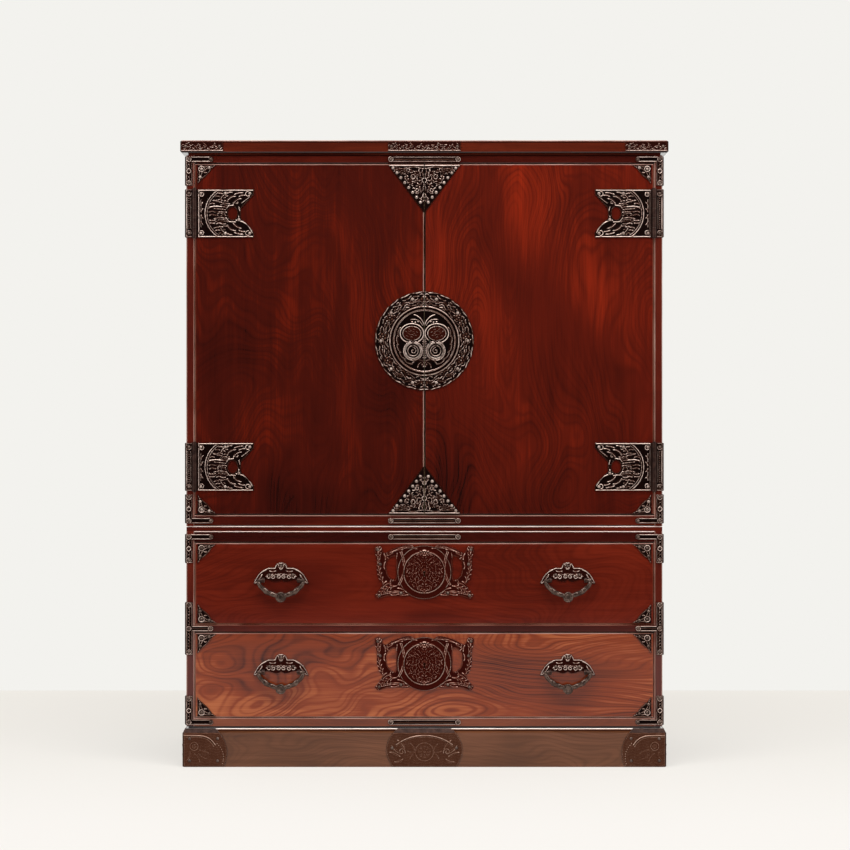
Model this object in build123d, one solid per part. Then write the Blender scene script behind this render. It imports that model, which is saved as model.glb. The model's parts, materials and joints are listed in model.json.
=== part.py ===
from build123d import *

import math
import os

# Two-case clothing chest in lacquered zelkova with iron fittings.
#
# Frame: +X to the viewer's right, +Y towards the back, +Z up, millimetres.
# The origin is on the floor, under the middle of the chest's bounding box.
# A base frame carries the drawer case, which carries the door case and its crown board.
# Each piece of the real chest is a solid of its own, and like pieces share a node.

os.makedirs("parts", exist_ok=True)

# ---------------------------------------------------------------- driving dimensions
# Cases
CASE_WIDTH = 1054.0
CASE_DEPTH = 450.0
SIDE_THICK = 18.0
ARRIS = 2.0                 # chamfer that catches the light round doors, drawers and rails
TONGUE_DEPTH = 6.0          # how far a board is housed in the case sides
TONGUE_THICK = 8.0
TONGUE_STOP = 20.0          # the housing stops this far behind the front
BACK_THICK = 6.0
BACK_REBATE = 6.0

# Base
BASE_HEIGHT = 85.0
BASE_OVERHANG = 5.0
BASE_RAIL_THICK = 24.0
BASE_BEVEL_OUT = 4.5
BASE_BEVEL_DOWN = 9.0
BASE_BLOCK_LEG = 60.0
BASE_BLOCK_HEIGHT = 55.0

# Heights from the base upwards
SHADOW_GROOVE = 4.5         # rebate under the drawer case
LOWER_FLOOR_THICK = 23.0
LOWER_DRAWER_OPENING = 189.0
MIDDLE_RAIL_THICK = 17.5
UPPER_DRAWER_OPENING = 181.5
LOWER_TOP_THICK = 25.5
SPACER_HEIGHT = 11.0
SPACER_SETBACK = 0.5
SPACER_THICK = 30.0
UPPER_FLOOR_THICK = 24.0
DOOR_OPENING = 778.5
UPPER_TOP_THICK = 18.0
NECK_HEIGHT = 5.0
NECK_SETBACK = 4.0
CROWN_THICK = 27.0
CROWN_OVERHANG = 9.5

# Doors
DOOR_GAP = 1.5
MEETING_GAP = 2.0
DOOR_PANEL_THICK = 12.0
DOOR_FRAME_THICK = 10.0
DOOR_FRAME_WIDTH = 60.0
DOOR_STOP_GAP = 0.3         # between a closed door and the shelf edge that stops it

# Hinges
HINGE_HEIGHT = 106.0
HINGE_FROM_DOOR_END = 109.0   # a door's top to its upper hinge's centre
HINGE_FROM_DOOR_FOOT = 105.5
HINGE_LEAF_REACH = 131.0
HINGE_NOTCH_DEPTH = 29.0
HINGE_NOTCH_HEIGHT = 22.0    # the flat at its bottom
HINGE_TIP_HEIGHT = 11.0
HINGE_EYE_WIDTH = 21.0
HINGE_EYE_HEIGHT = 28.0
HINGE_EYE_FROM_AXIS = 84.0
HINGE_SIDE_REACH = 62.0
HINGE_NAIL_INSET = 9.0
KNUCKLE_RADIUS = 4.5
KNUCKLE_COUNT = 5
KNUCKLE_GAP = 0.4
PIN_RADIUS = 2.0
PIN_CLEARANCE = 0.08
PIN_HEAD_RADIUS = 4.2
PIN_HEAD_HEIGHT = 2.5

# Iron plates
PLATE = 2.0
PLATE_INSET = 1.0           # plate edge to the edge of the wood it lies on
CREST_RADIUS = 109.5
CREST_BELOW_MIDDLE = 3.5     # door's middle to the crest's centre
CREST_RING_OUTER = 76.0
CREST_RING_INNER = 68.0
CREST_RING_HEIGHT = 1.5
GABLE_HALF_WIDTH = 80.0     # the split triangles at the doors' meeting edges
GABLE_HEIGHT = 104.0
CORNER_LEG_X = 42.0
CORNER_LEG_Z = 43.0
CORNER_INSET = 5.5           # a corner plate's upright edge, in from the door's or drawer's
CORNER_BELLY = 21.5          # how far out the slanting edge swells at its middle
CORNER_TIP_HEIGHT = 8.5      # the plate's height a quarter of the way in from its tip
CORNER_NAIL_INSET = 9.0
CORNER_TIP_NAIL_INSET = 6.0
ANGLE_ARM_WIDTH = 14.0
ANGLE_RAIL_REACH = 60.0
ANGLE_BAR = 12.0
ANGLE_STILE_REACH = 58.0
ANGLE_SIDE_REACH = 46.0
STRAP_LENGTH = 161.0
CROWN_PLATE_REACH = 92.0
CROWN_PLATE_SIDE_REACH = 70.0
CROWN_CENTRE_LENGTH = 160.0
BASE_PLATE_REACH = 95.0
BASE_PLATE_TOP_REACH = 70.0
BASE_PLATE_FOOT_REACH = 88.0
BASE_CORNER_SIDE_REACH = 95.0
BASE_CENTRE_WIDTH = 168.0
BASE_CENTRE_TOP_WIDTH = 118.0
BASE_CENTRE_FOOT_WIDTH = 140.0
BASE_NAIL_INSET = 13.0

# Round-headed nails that hold the iron
NAIL_HEAD_RADIUS = 3.6
NAIL_HEAD_HEIGHT = 2.2
NAIL_SHANK_RADIUS = 1.0
NAIL_LENGTH = 9.0
NAIL_POINT = 2.0
NAIL_HOLE_PLAY = 0.05
GABLE_NAILS = 8             # along each slanted edge
GABLE_NAIL_INSET = 6.5
CREST_NAIL_RADIUS = 96.0
CREST_NAIL_ANGLES = (74, 40, 0, -40, -74)

# Ring pulls on the doors
RING_RADIUS = 17.6
RING_WIRE = 2.3
RING_FROM_MEETING = 25.0
RING_EYE_BELOW_CREST = 4.5
RING_PROUD = 9.0
RING_LUG_WIDTH = 3.0
RING_LUG_WALL = 1.8
RING_PLAY = 0.3

# Door lock
LOCK_CASE_WIDTH = 44.0
LOCK_CASE_HEIGHT = 64.0
BOLT_THICK = 5.0
BOLT_HEIGHT = 26.0
BOLT_THROW = 8.0
BOLT_PLAY = 0.25

# Drawers
DRAWER_GAP = 1.25
DRAWER_FRONT_THICK = 20.0
DRAWER_SIDE_THICK = 10.0
DRAWER_SIDE_PLAY = 1.5
DRAWER_SIDE_DROP = 16.0     # top of the box below the top of the front
DRAWER_BOTTOM_THICK = 5.0
DRAWER_BOTTOM_RISE = 8.0
DRAWER_GROOVE = 4.0
DRAWER_LAP = 8.0            # side let into the back of the front
DRAWER_BACK_GAP = 12.0
RUN_CLEARANCE = 0.3
RUNNER_WIDTH = 28.0
MIDDLE_RAIL_DEPTH = 60.0

# Drawer locks
LOCK_DISC_RADIUS = 59.3
LOCK_MEDAL_RADIUS = 46.5
LOCK_MEDAL_HEIGHT = 1.5
LOCK_ABOVE_MIDDLE = 25.0    # drawer opening's middle to the lock centre
LOCK_BOX_WIDTH = 60.0
LOCK_BOX_HEIGHT = 46.0
LOCK_BOX_THICK = 12.0
DRAWER_BOLT_WIDTH = 30.0
KEYHOLE_RADIUS = 2.6
KEYHOLE_SLOT = 2.4
KEYHOLE_DROP = 9.0

# Drawer handles
HANDLE_FROM_CENTRE = 317.0
HANDLE_ABOVE_MIDDLE = 8.0
HANDLE_TIP = 61.0
HANDLE_CROWN = 27.0
HANDLE_FINIAL = 39.0
PIVOT_PROUD = 14.0
BAIL_SPAN = 49.5            # pivot arm centre from the handle's middle
BAIL_DROP = 34.0
BAIL_TURN = 20.0             # radius of the tight bends below the pivots
BAIL_RADIUS = 4.0
GRIP_RADIUS = 11.5          # the flat bead at the bail's foot
GRIP_HALF_THICK = 6.0
GRIP_ROUND = 5.0
GRIP_DROP = 37.0
POST_WIDTH = 6.0
POST_RADIUS = 5.2
STUB_RADIUS = 3.0
STUB_CLEARANCE = 0.08
STUB_OVERHANG = 1.0         # stub's end past its post
POST_GAP = 3.0              # clears the bar as it curves in below the post

# Inside the door case
TRAY_COUNT = 5
TRAY_TRAVEL = 12.0          # what a tray can move behind closed doors
TRAY_STOP_GAP = 2.0
TRAY_PLAY = 2.0
TRAY_SIDE_HEIGHT = 86.0
TRAY_FRONT_HEIGHT = 62.0
TRAY_WALL = 10.0
TRAY_BOTTOM = 5.0
TRAY_RUNNER_WIDTH = 14.0
TRAY_RUNNER_HEIGHT = 10.0
TRAY_TOP_SPACE = 6.0        # above the uppermost tray
SMALL_DRAWER_OPENING = 146.0
SHELF_THICK = 14.0
DIVIDER_THICK = 16.0
KNOB_RADIUS = 7.0
KNOB_STEM_RADIUS = 4.0
KNOB_LENGTH = 10.0

# ---------------------------------------------------------------- derived places
HALF = CASE_WIDTH / 2
INNER = HALF - SIDE_THICK
REACH = PIVOT_PROUD + GRIP_HALF_THICK        # what stands furthest in front of the cases
FACE = (REACH - CASE_DEPTH) / 2              # the plane of the doors and drawer fronts
BACK = FACE + CASE_DEPTH
PANEL_FRONT = BACK - BACK_THICK

LOWER_BOTTOM = BASE_HEIGHT
LOWER_FLOOR = LOWER_BOTTOM + LOWER_FLOOR_THICK
RAIL_BOTTOM = LOWER_FLOOR + LOWER_DRAWER_OPENING
RAIL_TOP = RAIL_BOTTOM + MIDDLE_RAIL_THICK
LOWER_CEILING = RAIL_TOP + UPPER_DRAWER_OPENING
LOWER_TOP = LOWER_CEILING + LOWER_TOP_THICK
UPPER_BOTTOM = LOWER_TOP + SPACER_HEIGHT
UPPER_FLOOR = UPPER_BOTTOM + UPPER_FLOOR_THICK
UPPER_CEILING = UPPER_FLOOR + DOOR_OPENING
UPPER_TOP = UPPER_CEILING + UPPER_TOP_THICK
CROWN_BOTTOM = UPPER_TOP + NECK_HEIGHT
CROWN_TOP = CROWN_BOTTOM + CROWN_THICK

DOOR_THICK = DOOR_PANEL_THICK + DOOR_FRAME_THICK
DOOR_BACK = FACE + DOOR_THICK
DOOR_BOTTOM = UPPER_FLOOR + DOOR_GAP
DOOR_TOP = UPPER_CEILING - DOOR_GAP
DOOR_MIDDLE = (DOOR_BOTTOM + DOOR_TOP) / 2
CREST_LEVEL = DOOR_MIDDLE - CREST_BELOW_MIDDLE
DOOR_OUTER = INNER - DOOR_GAP
DOOR_INNER = MEETING_GAP / 2
AXIS_X = INNER - DOOR_GAP / 2
AXIS_Y = FACE - KNUCKLE_RADIUS
HINGE_LEVELS = (DOOR_BOTTOM + HINGE_FROM_DOOR_FOOT, DOOR_TOP - HINGE_FROM_DOOR_END)

STOP_FACE = DOOR_BACK + DOOR_STOP_GAP
TRAY_FACE = DOOR_BACK + TRAY_TRAVEL + TRAY_STOP_GAP
SHELF_BOTTOM = UPPER_FLOOR + SMALL_DRAWER_OPENING
SHELF_TOP = SHELF_BOTTOM + SHELF_THICK
TRAY_PITCH = (UPPER_CEILING - TRAY_TOP_SPACE - SHELF_TOP) / TRAY_COUNT

BASE_FRONT = FACE - BASE_OVERHANG
BASE_HALF = HALF + BASE_OVERHANG
CROWN_FRONT = FACE - CROWN_OVERHANG
CROWN_HALF = HALF + CROWN_OVERHANG


FACINGS = {"front": Rot(90, 0, 0), "right": Rot(0, 90, 0), "left": Rot(0, -90, 0)}


# ---------------------------------------------------------------- helpers
def block(x0, x1, y0, y1, z0, z1):
    """A square-edged piece between two corners."""
    return Pos((x0 + x1) / 2, (y0 + y1) / 2, (z0 + z1) / 2) * Box(x1 - x0, y1 - y0, z1 - z0)


def rod_x(x0, x1, y, z, radius):
    """A round bar along X."""
    return Pos((x0 + x1) / 2, y, z) * Rot(0, 90, 0) * Cylinder(radius, x1 - x0)


def rod_z(x, y, z0, z1, radius):
    """A round bar along Z."""
    return Pos(x, y, (z0 + z1) / 2) * Cylinder(radius, z1 - z0)


def eased(piece, picks, size=ARRIS):
    """The piece with the picked edges of its foremost face chamfered."""
    front = min(v.Y for v in piece.vertices())
    edges = [e for e in piece.edges() if e.bounding_box().max.Y < front + 0.01]
    level = sorted((e for e in edges if e.bounding_box().size.X > 1), key=lambda e: e.center().Z)
    upright = sorted((e for e in edges if e.bounding_box().size.Z > 1), key=lambda e: e.center().X)
    named = {"bottom": level[0], "top": level[-1], "left": upright[0], "right": upright[-1]}
    return piece.solid().chamfer(size, None, [named[p] for p in picks])


def mirrored(piece):
    """The piece's twin on the other side of the chest."""
    return mirror(piece, about=Plane.YZ)


def outline(*strokes):
    """A face bounded by strokes: two points make a line, more make a smooth curve."""
    curves = [Line(*s) if len(s) == 2 else Spline(*s) for s in strokes]
    return make_face(curves)


def on_front(shape, x, z, thick=PLATE, face=FACE):
    """A plate of the given outline, lying on a front plane with its own origin at x, z."""
    plane = Plane(origin=(x, face, z), x_dir=(1, 0, 0), z_dir=(0, -1, 0))
    return extrude(plane * shape, thick)


def flipped(shape, x=False, z=False):
    """An outline turned over left to right, top to bottom, or both."""
    if x:
        shape = mirror(shape, about=Plane.YZ)
    if z:
        shape = mirror(shape, about=Plane.XZ)
    return shape


def nail(x, y, z, facing):
    """A nail whose head seats at x, y, z, facing the front, the right or the left."""
    bulge = NAIL_HEAD_HEIGHT * 0.72
    profile = make_face([
        ThreePointArc((0, NAIL_HEAD_HEIGHT), (NAIL_HEAD_RADIUS * 0.58, bulge), (NAIL_HEAD_RADIUS, 0)),
        Line((NAIL_HEAD_RADIUS, 0), (NAIL_SHANK_RADIUS, 0)),
        Line((NAIL_SHANK_RADIUS, 0), (NAIL_SHANK_RADIUS, NAIL_POINT - NAIL_LENGTH)),
        Line((NAIL_SHANK_RADIUS, NAIL_POINT - NAIL_LENGTH), (0, -NAIL_LENGTH)),
        Line((0, -NAIL_LENGTH), (0, NAIL_HEAD_HEIGHT))])
    return Pos(x, y, z) * FACINGS[facing] * revolve(Plane.XZ * profile, Axis.Z)


def nail_hole(x, y, z, facing):
    """The hole that a nail makes through its plate and into the wood."""
    hole = Pos(0, 0, -NAIL_LENGTH / 2) * Cylinder(NAIL_SHANK_RADIUS + NAIL_HOLE_PLAY, NAIL_LENGTH)
    return Pos(x, y, z) * FACINGS[facing] * hole


def pierced(piece, nails):
    """The piece with a hole for each nail that reaches into it."""
    box = piece.bounding_box()
    holes = [hole for hole in (nail_hole(*n) for n in nails) if touches(box, hole.bounding_box())]
    return piece - holes if holes else piece


def touches(a, b):
    return all(p <= q for p, q in zip((*a.min, *b.min), (*b.max, *a.max)))


def on_plate(spots, face=FACE):
    """Nails at these x, z spots of a plate on a front plane."""
    return [(x, face - PLATE, z, "front") for x, z in spots]


def both_sides(nails):
    """The nails and their twins on the other side of the chest."""
    twin = {"front": "front", "right": "left", "left": "right"}
    return list(nails) + [(-x, y, z, twin[facing]) for x, y, z, facing in nails]


def save(name, *solids):
    """Writes one node; its solids are the pieces that share the name."""
    pieces = [s for piece in solids for s in piece.solids()]
    export_step(Compound(pieces) if len(pieces) > 1 else pieces[0], f"parts/{name}.step")


# ---------------------------------------------------------------- base
def bevelled_block(grow):
    """The base's outer form, grown outwards by this much at the front and both ends."""
    x, y = BASE_HALF + grow, BASE_FRONT - grow
    form = block(-x, x, y, BACK, 0, BASE_HEIGHT).solid()
    for pick in (lambda v: -v.Y, lambda v: v.X, lambda v: -v.X):
        face = max(form.faces(), key=lambda f: pick(f.center()))
        top = max(face.edges(), key=lambda e: e.center().Z)
        form = form.chamfer(BASE_BEVEL_DOWN, BASE_BEVEL_OUT, [top], face)
    return form


def make_base(nails):
    form = bevelled_block(0)
    inner = BASE_HALF - BASE_RAIL_THICK
    front, rear = BASE_FRONT + BASE_RAIL_THICK, BACK - BASE_RAIL_THICK
    rails = [form & block(-BASE_HALF, BASE_HALF, BASE_FRONT, front, 0, BASE_HEIGHT),
             form & block(inner, BASE_HALF, front, rear, 0, BASE_HEIGHT),
             form & block(-BASE_HALF, -inner, front, rear, 0, BASE_HEIGHT),
             form & block(-BASE_HALF, BASE_HALF, rear, BACK, 0, BASE_HEIGHT)]
    save("base_rails", *(pierced(rail, nails) for rail in rails))

    # glue blocks stiffen the four inside corners, under the drawer case
    blocks = []
    for y, inward in ((front, 1), (rear, -1)):
        wedge = Polygon((inner, y), (inner - BASE_BLOCK_LEG, y), (inner, y + inward * BASE_BLOCK_LEG),
                        align=None)
        low = Plane.XY.offset(BASE_HEIGHT - BASE_BLOCK_HEIGHT)
        blocks.append(extrude(low * wedge, BASE_BLOCK_HEIGHT, dir=(0, 0, 1)))
    save("base_corner_blocks", *blocks, *map(mirrored, blocks))


def base_plates():
    """Plates that wrap the base's front corners and bevel, the one at its middle, and nails."""
    low, high = PLATE_INSET, BASE_HEIGHT
    middle = high * 0.5
    edge = BASE_HALF + PLATE
    foot, top = BASE_HALF - BASE_PLATE_FOOT_REACH, BASE_HALF - BASE_PLATE_TOP_REACH
    corner = outline(((edge, low), (foot, low)),
                     ((foot, low), (BASE_HALF - BASE_PLATE_REACH, middle), (top, high)),
                     ((top, high), (edge, high)),
                     ((edge, high), (edge, low)))
    half, foot, top = (w / 2 for w in (BASE_CENTRE_WIDTH, BASE_CENTRE_FOOT_WIDTH,
                                       BASE_CENTRE_TOP_WIDTH))
    centre = outline(((-foot, low), (foot, low)),
                     ((foot, low), (half, middle), (top, high)),
                     ((top, high), (-top, high)),
                     ((-top, high), (-half, middle), (-foot, low)))
    skin = bevelled_block(PLATE) - bevelled_block(0)
    depth = BASE_BEVEL_OUT + PLATE
    stretch = {"thick": depth + PLATE, "face": BASE_FRONT + BASE_BEVEL_OUT}
    wrap = block(BASE_HALF - depth, edge, BASE_FRONT - PLATE, BASE_FRONT + BASE_CORNER_SIDE_REACH,
                 low, high)
    corner = skin & (on_front(corner, 0, 0, **stretch) + wrap)
    inset = BASE_NAIL_INSET
    levels = (low + inset, high - BASE_BEVEL_DOWN - inset)
    columns = (BASE_HALF - inset, BASE_HALF - BASE_PLATE_FOOT_REACH + inset)
    spots = [(x, z) for x in columns for z in levels]
    nails = both_sides(on_plate(spots, BASE_FRONT) + [
        (edge, BASE_FRONT + BASE_CORNER_SIDE_REACH - inset, z, "right") for z in levels])
    nails += both_sides(on_plate([(half - inset, middle)], BASE_FRONT))
    return [corner, mirrored(corner), skin & on_front(centre, 0, 0, **stretch)], nails


# ---------------------------------------------------------------- case carcasses
def tongue(z0, z1, y1, y0=FACE + TONGUE_STOP):
    """The tongue on both ends of a board, which its housing in the sides repeats."""
    middle = (z0 + z1) / 2
    return block(-INNER - TONGUE_DEPTH, INNER + TONGUE_DEPTH, y0, y1,
                 middle - TONGUE_THICK / 2, middle + TONGUE_THICK / 2)


def board(z0, z1, picks, y1=PANEL_FRONT):
    """A full-width board between the sides, tongued into both."""
    return eased(block(-INNER, INNER, FACE, y1, z0, z1), picks) + tongue(z0, z1, y1)


def case_side(z0, z1, housings):
    """The right side of a case, with a housing for each board and a rebate for the back."""
    side = eased(block(INNER, HALF, FACE, BACK, z0, z1), ("left", "right"))
    side -= block(INNER, INNER + BACK_REBATE, PANEL_FRONT, BACK, z0, z1)
    for housing in housings:
        side -= tongue(*housing)
    return side


def case_back(z0, z1):
    return block(-INNER - BACK_REBATE, INNER + BACK_REBATE, PANEL_FRONT, BACK, z0, z1)


def shadow_groove():
    """The rebate that runs round the foot of the drawer case, at the front and both ends."""
    top = LOWER_BOTTOM + SHADOW_GROOVE
    end = block(HALF - SHADOW_GROOVE, HALF, FACE, BACK, LOWER_BOTTOM, top)
    return [block(-HALF, HALF, FACE, FACE + SHADOW_GROOVE, LOWER_BOTTOM, top), end, mirrored(end)]


def make_lower_case(nails):
    rail_back = FACE + MIDDLE_RAIL_DEPTH
    side = case_side(LOWER_BOTTOM, LOWER_TOP, (
        (LOWER_BOTTOM, LOWER_FLOOR, PANEL_FRONT),
        (RAIL_BOTTOM, RAIL_TOP, rail_back),
        (LOWER_CEILING, LOWER_TOP, PANEL_FRONT)))
    side = pierced(side - shadow_groove(), nails)
    save("lower_case_sides", side, mirrored(side))
    floor = board(LOWER_BOTTOM, LOWER_FLOOR, ("top",)) - shadow_groove()
    save("lower_case_floor", pierced(floor, nails))
    rail = board(RAIL_BOTTOM, RAIL_TOP, ("top", "bottom"), rail_back)
    save("lower_middle_rail", pierced(rail, nails) - drawer_bolt(RAIL_BOTTOM)[1])
    top = board(LOWER_CEILING, LOWER_TOP, ("top", "bottom"))
    save("lower_case_top", pierced(top, nails) - drawer_bolt(LOWER_CEILING)[1])
    runner = block(INNER - RUNNER_WIDTH, INNER, rail_back, PANEL_FRONT, RAIL_BOTTOM, RAIL_TOP)
    rear = block(RUNNER_WIDTH - INNER, INNER - RUNNER_WIDTH, PANEL_FRONT - RUNNER_WIDTH,
                 PANEL_FRONT, RAIL_BOTTOM, RAIL_TOP)
    save("lower_drawer_runners", runner, mirrored(runner), rear)


def make_spacer():
    """The frame that parts the two cases, its upper edge eased at the front and both ends."""
    x, y = HALF - SPACER_SETBACK, FACE + SPACER_SETBACK
    back = BACK - SPACER_SETBACK
    form = block(-x, x, y, back, LOWER_TOP, UPPER_BOTTOM).solid()
    rims = [e for e in form.edges() if e.center().Z > UPPER_BOTTOM - 0.01 and e.center().Y < back - 1]
    form = form.chamfer(ARRIS, None, rims)
    front = form & block(-x, x, y, y + SPACER_THICK, LOWER_TOP, UPPER_BOTTOM)
    rear = form & block(-x, x, back - SPACER_THICK, back, LOWER_TOP, UPPER_BOTTOM)
    side = form & block(x - SPACER_THICK, x, y + SPACER_THICK, back - SPACER_THICK,
                        LOWER_TOP, UPPER_BOTTOM)
    save("case_spacer", front, rear, side, mirrored(side))


def make_upper_case(nails):
    side = case_side(UPPER_BOTTOM, UPPER_TOP, (
        (UPPER_BOTTOM, UPPER_FLOOR, PANEL_FRONT),
        (SHELF_BOTTOM, SHELF_TOP, PANEL_FRONT, STOP_FACE),
        (UPPER_CEILING, UPPER_TOP, PANEL_FRONT)))
    side = pierced(side, nails)
    save("upper_case_sides", side, mirrored(side))
    floor = board(UPPER_BOTTOM, UPPER_FLOOR, ("top", "bottom"))
    save("upper_case_floor", pierced(floor, nails))
    top = board(UPPER_CEILING, UPPER_TOP, ("top", "bottom"))
    save("upper_case_top", pierced(top, nails))
    save("case_backs", case_back(LOWER_BOTTOM, LOWER_TOP), case_back(UPPER_BOTTOM, UPPER_TOP))
    slab = block(-CROWN_HALF, CROWN_HALF, CROWN_FRONT, BACK, CROWN_BOTTOM, CROWN_TOP)
    neck = block(NECK_SETBACK - HALF, HALF - NECK_SETBACK, FACE + NECK_SETBACK, BACK,
                 UPPER_TOP, CROWN_BOTTOM)
    save("crown_board", pierced(eased(slab, ("top", "bottom")) + neck, nails))


def make_shelf():
    """The shelf under the trays, whose front edge stops the doors, its divider, and runners."""
    shelf = block(-INNER, INNER, STOP_FACE, PANEL_FRONT, SHELF_BOTTOM, SHELF_TOP)
    shelf += tongue(SHELF_BOTTOM, SHELF_TOP, PANEL_FRONT, STOP_FACE)
    divider = block(-DIVIDER_THICK / 2, DIVIDER_THICK / 2, STOP_FACE, PANEL_FRONT,
                    UPPER_FLOOR, SHELF_BOTTOM)
    runners = [block(INNER - TRAY_RUNNER_WIDTH, INNER, TRAY_FACE, PANEL_FRONT,
                     tray_level(i) - TRAY_RUNNER_HEIGHT, tray_level(i)) for i in range(TRAY_COUNT)]
    save("shelf_and_runners", shelf, divider, *runners, *map(mirrored, runners))


# ---------------------------------------------------------------- iron on the cases
def angle_plate(z_rail, ends, bar=ANGLE_BAR):
    """An angle or tee on the right stile: a bar along the rail, an arm to each end; and nails."""
    outer = HALF + PLATE
    low, high = min(z_rail - bar / 2, *ends), max(z_rail + bar / 2, *ends)
    arm = block(HALF - ANGLE_ARM_WIDTH, outer, FACE - PLATE, FACE, low, high)
    tip = HALF - ANGLE_RAIL_REACH + bar / 2
    rail = block(tip, HALF, FACE - PLATE, FACE, z_rail - bar / 2, z_rail + bar / 2)
    round_end = Pos(tip, FACE - PLATE / 2, z_rail) * Rot(90, 0, 0) * Cylinder(bar / 2, PLATE)
    wrap = block(HALF, outer, FACE - PLATE, FACE + ANGLE_SIDE_REACH, low, high)
    stud = bar / 2
    spots = [(HALF - stud, z_rail), (tip, z_rail)]
    spots += [(HALF - stud, end + (stud if end < z_rail else -stud)) for end in ends]
    side = [(outer, FACE + ANGLE_SIDE_REACH - stud, z, "right") for z in (low + stud, high - stud)]
    return arm + rail + round_end + wrap, on_plate(spots) + side


def strap(z):
    """A round-ended strap at the middle of a rail, and its nails."""
    half = STRAP_LENGTH / 2 - ANGLE_BAR / 2
    shape = Rectangle(2 * half, ANGLE_BAR) + Pos(half, 0) * Circle(ANGLE_BAR / 2)
    shape += Pos(-half, 0) * Circle(ANGLE_BAR / 2)
    return on_front(shape, 0, z), on_plate([(-half, z), (half, z)])


def case_plates(angles, straps):
    """Angles on both stiles and straps between them; angles are (rail level, arm ends)."""
    plates, nails = [], []
    for level, ends in angles:
        plate, own = angle_plate(level, ends)
        plates += [plate, mirrored(plate)]
        nails += both_sides(own)
    for level in straps:
        plate, own = strap(level)
        plates.append(plate)
        nails += own
    return plates, nails


def upper_case_plates():
    top = (UPPER_CEILING + UPPER_TOP) / 2
    bottom = (UPPER_BOTTOM + UPPER_FLOOR) / 2
    reach = ANGLE_STILE_REACH
    return case_plates(((top, [top - reach]), (bottom, [bottom + reach])), (top, bottom))


def lower_case_plates():
    top = (LOWER_CEILING + LOWER_TOP) / 2
    rail = (RAIL_BOTTOM + RAIL_TOP) / 2
    bottom = (LOWER_BOTTOM + SHADOW_GROOVE + LOWER_FLOOR) / 2
    reach = ANGLE_STILE_REACH
    return case_plates(((top, [top - reach]), (rail, [rail - reach, rail + reach]),
                        (bottom, [bottom + reach])), (top, bottom))


def crown_plates():
    low, high = CROWN_BOTTOM + ARRIS, CROWN_TOP - ARRIS
    middle = (low + high) / 2
    outer, front = CROWN_HALF + PLATE, CROWN_FRONT - PLATE
    rear = CROWN_FRONT + CROWN_PLATE_SIDE_REACH
    corner = block(CROWN_HALF - CROWN_PLATE_REACH, outer, front, CROWN_FRONT, low, high)
    corner += block(CROWN_HALF, outer, front, rear, low, high)
    half = CROWN_CENTRE_LENGTH / 2
    centre = block(-half, half, front, CROWN_FRONT, low, high)
    spots = [(CROWN_HALF - 9, middle), (CROWN_HALF - CROWN_PLATE_REACH + 8, middle),
             (half - 7, middle)]
    nails = both_sides(on_plate(spots, CROWN_FRONT) + [(outer, rear - 8, middle, "right")])
    return [corner, mirrored(corner), centre], nails


# ---------------------------------------------------------------- hinges
def knuckles(z, indices, radius, slack=0.0):
    """The barrel lengths with these numbers, counted upwards, for a hinge centred at z."""
    pitch = HINGE_HEIGHT / KNUCKLE_COUNT
    bottom = z - HINGE_HEIGHT / 2
    trim = KNUCKLE_GAP / 2 - slack
    return [rod_z(AXIS_X, AXIS_Y, bottom + i * pitch + trim, bottom + (i + 1) * pitch - trim, radius)
            for i in indices]


def with_barrel(leaf, z, own, other):
    """A leaf with its own knuckles, cleared round the other leaf's and bored for the pin."""
    leaf -= knuckles(z, other, KNUCKLE_RADIUS + KNUCKLE_GAP, KNUCKLE_GAP)
    leaf += knuckles(z, own, KNUCKLE_RADIUS)
    half = HINGE_HEIGHT / 2
    return leaf - rod_z(AXIS_X, AXIS_Y, z - half, z + half, PIN_RADIUS + PIN_CLEARANCE)


def door_leaf_outline():
    """Swallow-tailed leaf seen from the front, reaching left from the barrel at its origin."""
    half = HINGE_HEIGHT / 2
    reach, tip = -HINGE_LEAF_REACH, HINGE_TIP_HEIGHT
    notch, flat = reach + HINGE_NOTCH_DEPTH, HINGE_NOTCH_HEIGHT / 2
    slope = (reach + HINGE_NOTCH_DEPTH * 0.48, (half - tip + flat) / 2)
    leaf = outline(((0, half), (reach, half)),
                   ((reach, half), (reach, half - tip)),
                   ((reach, half - tip), slope, (notch, flat)),
                   ((notch, flat), (notch, -flat)),
                   ((notch, -flat), (slope[0], -slope[1]), (reach, tip - half)),
                   ((reach, tip - half), (reach, -half)),
                   ((reach, -half), (0, -half)),
                   ((0, -half), (0, half)))
    return leaf - Pos(-HINGE_EYE_FROM_AXIS, 0) * Ellipse(HINGE_EYE_WIDTH / 2, HINGE_EYE_HEIGHT / 2)


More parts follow.
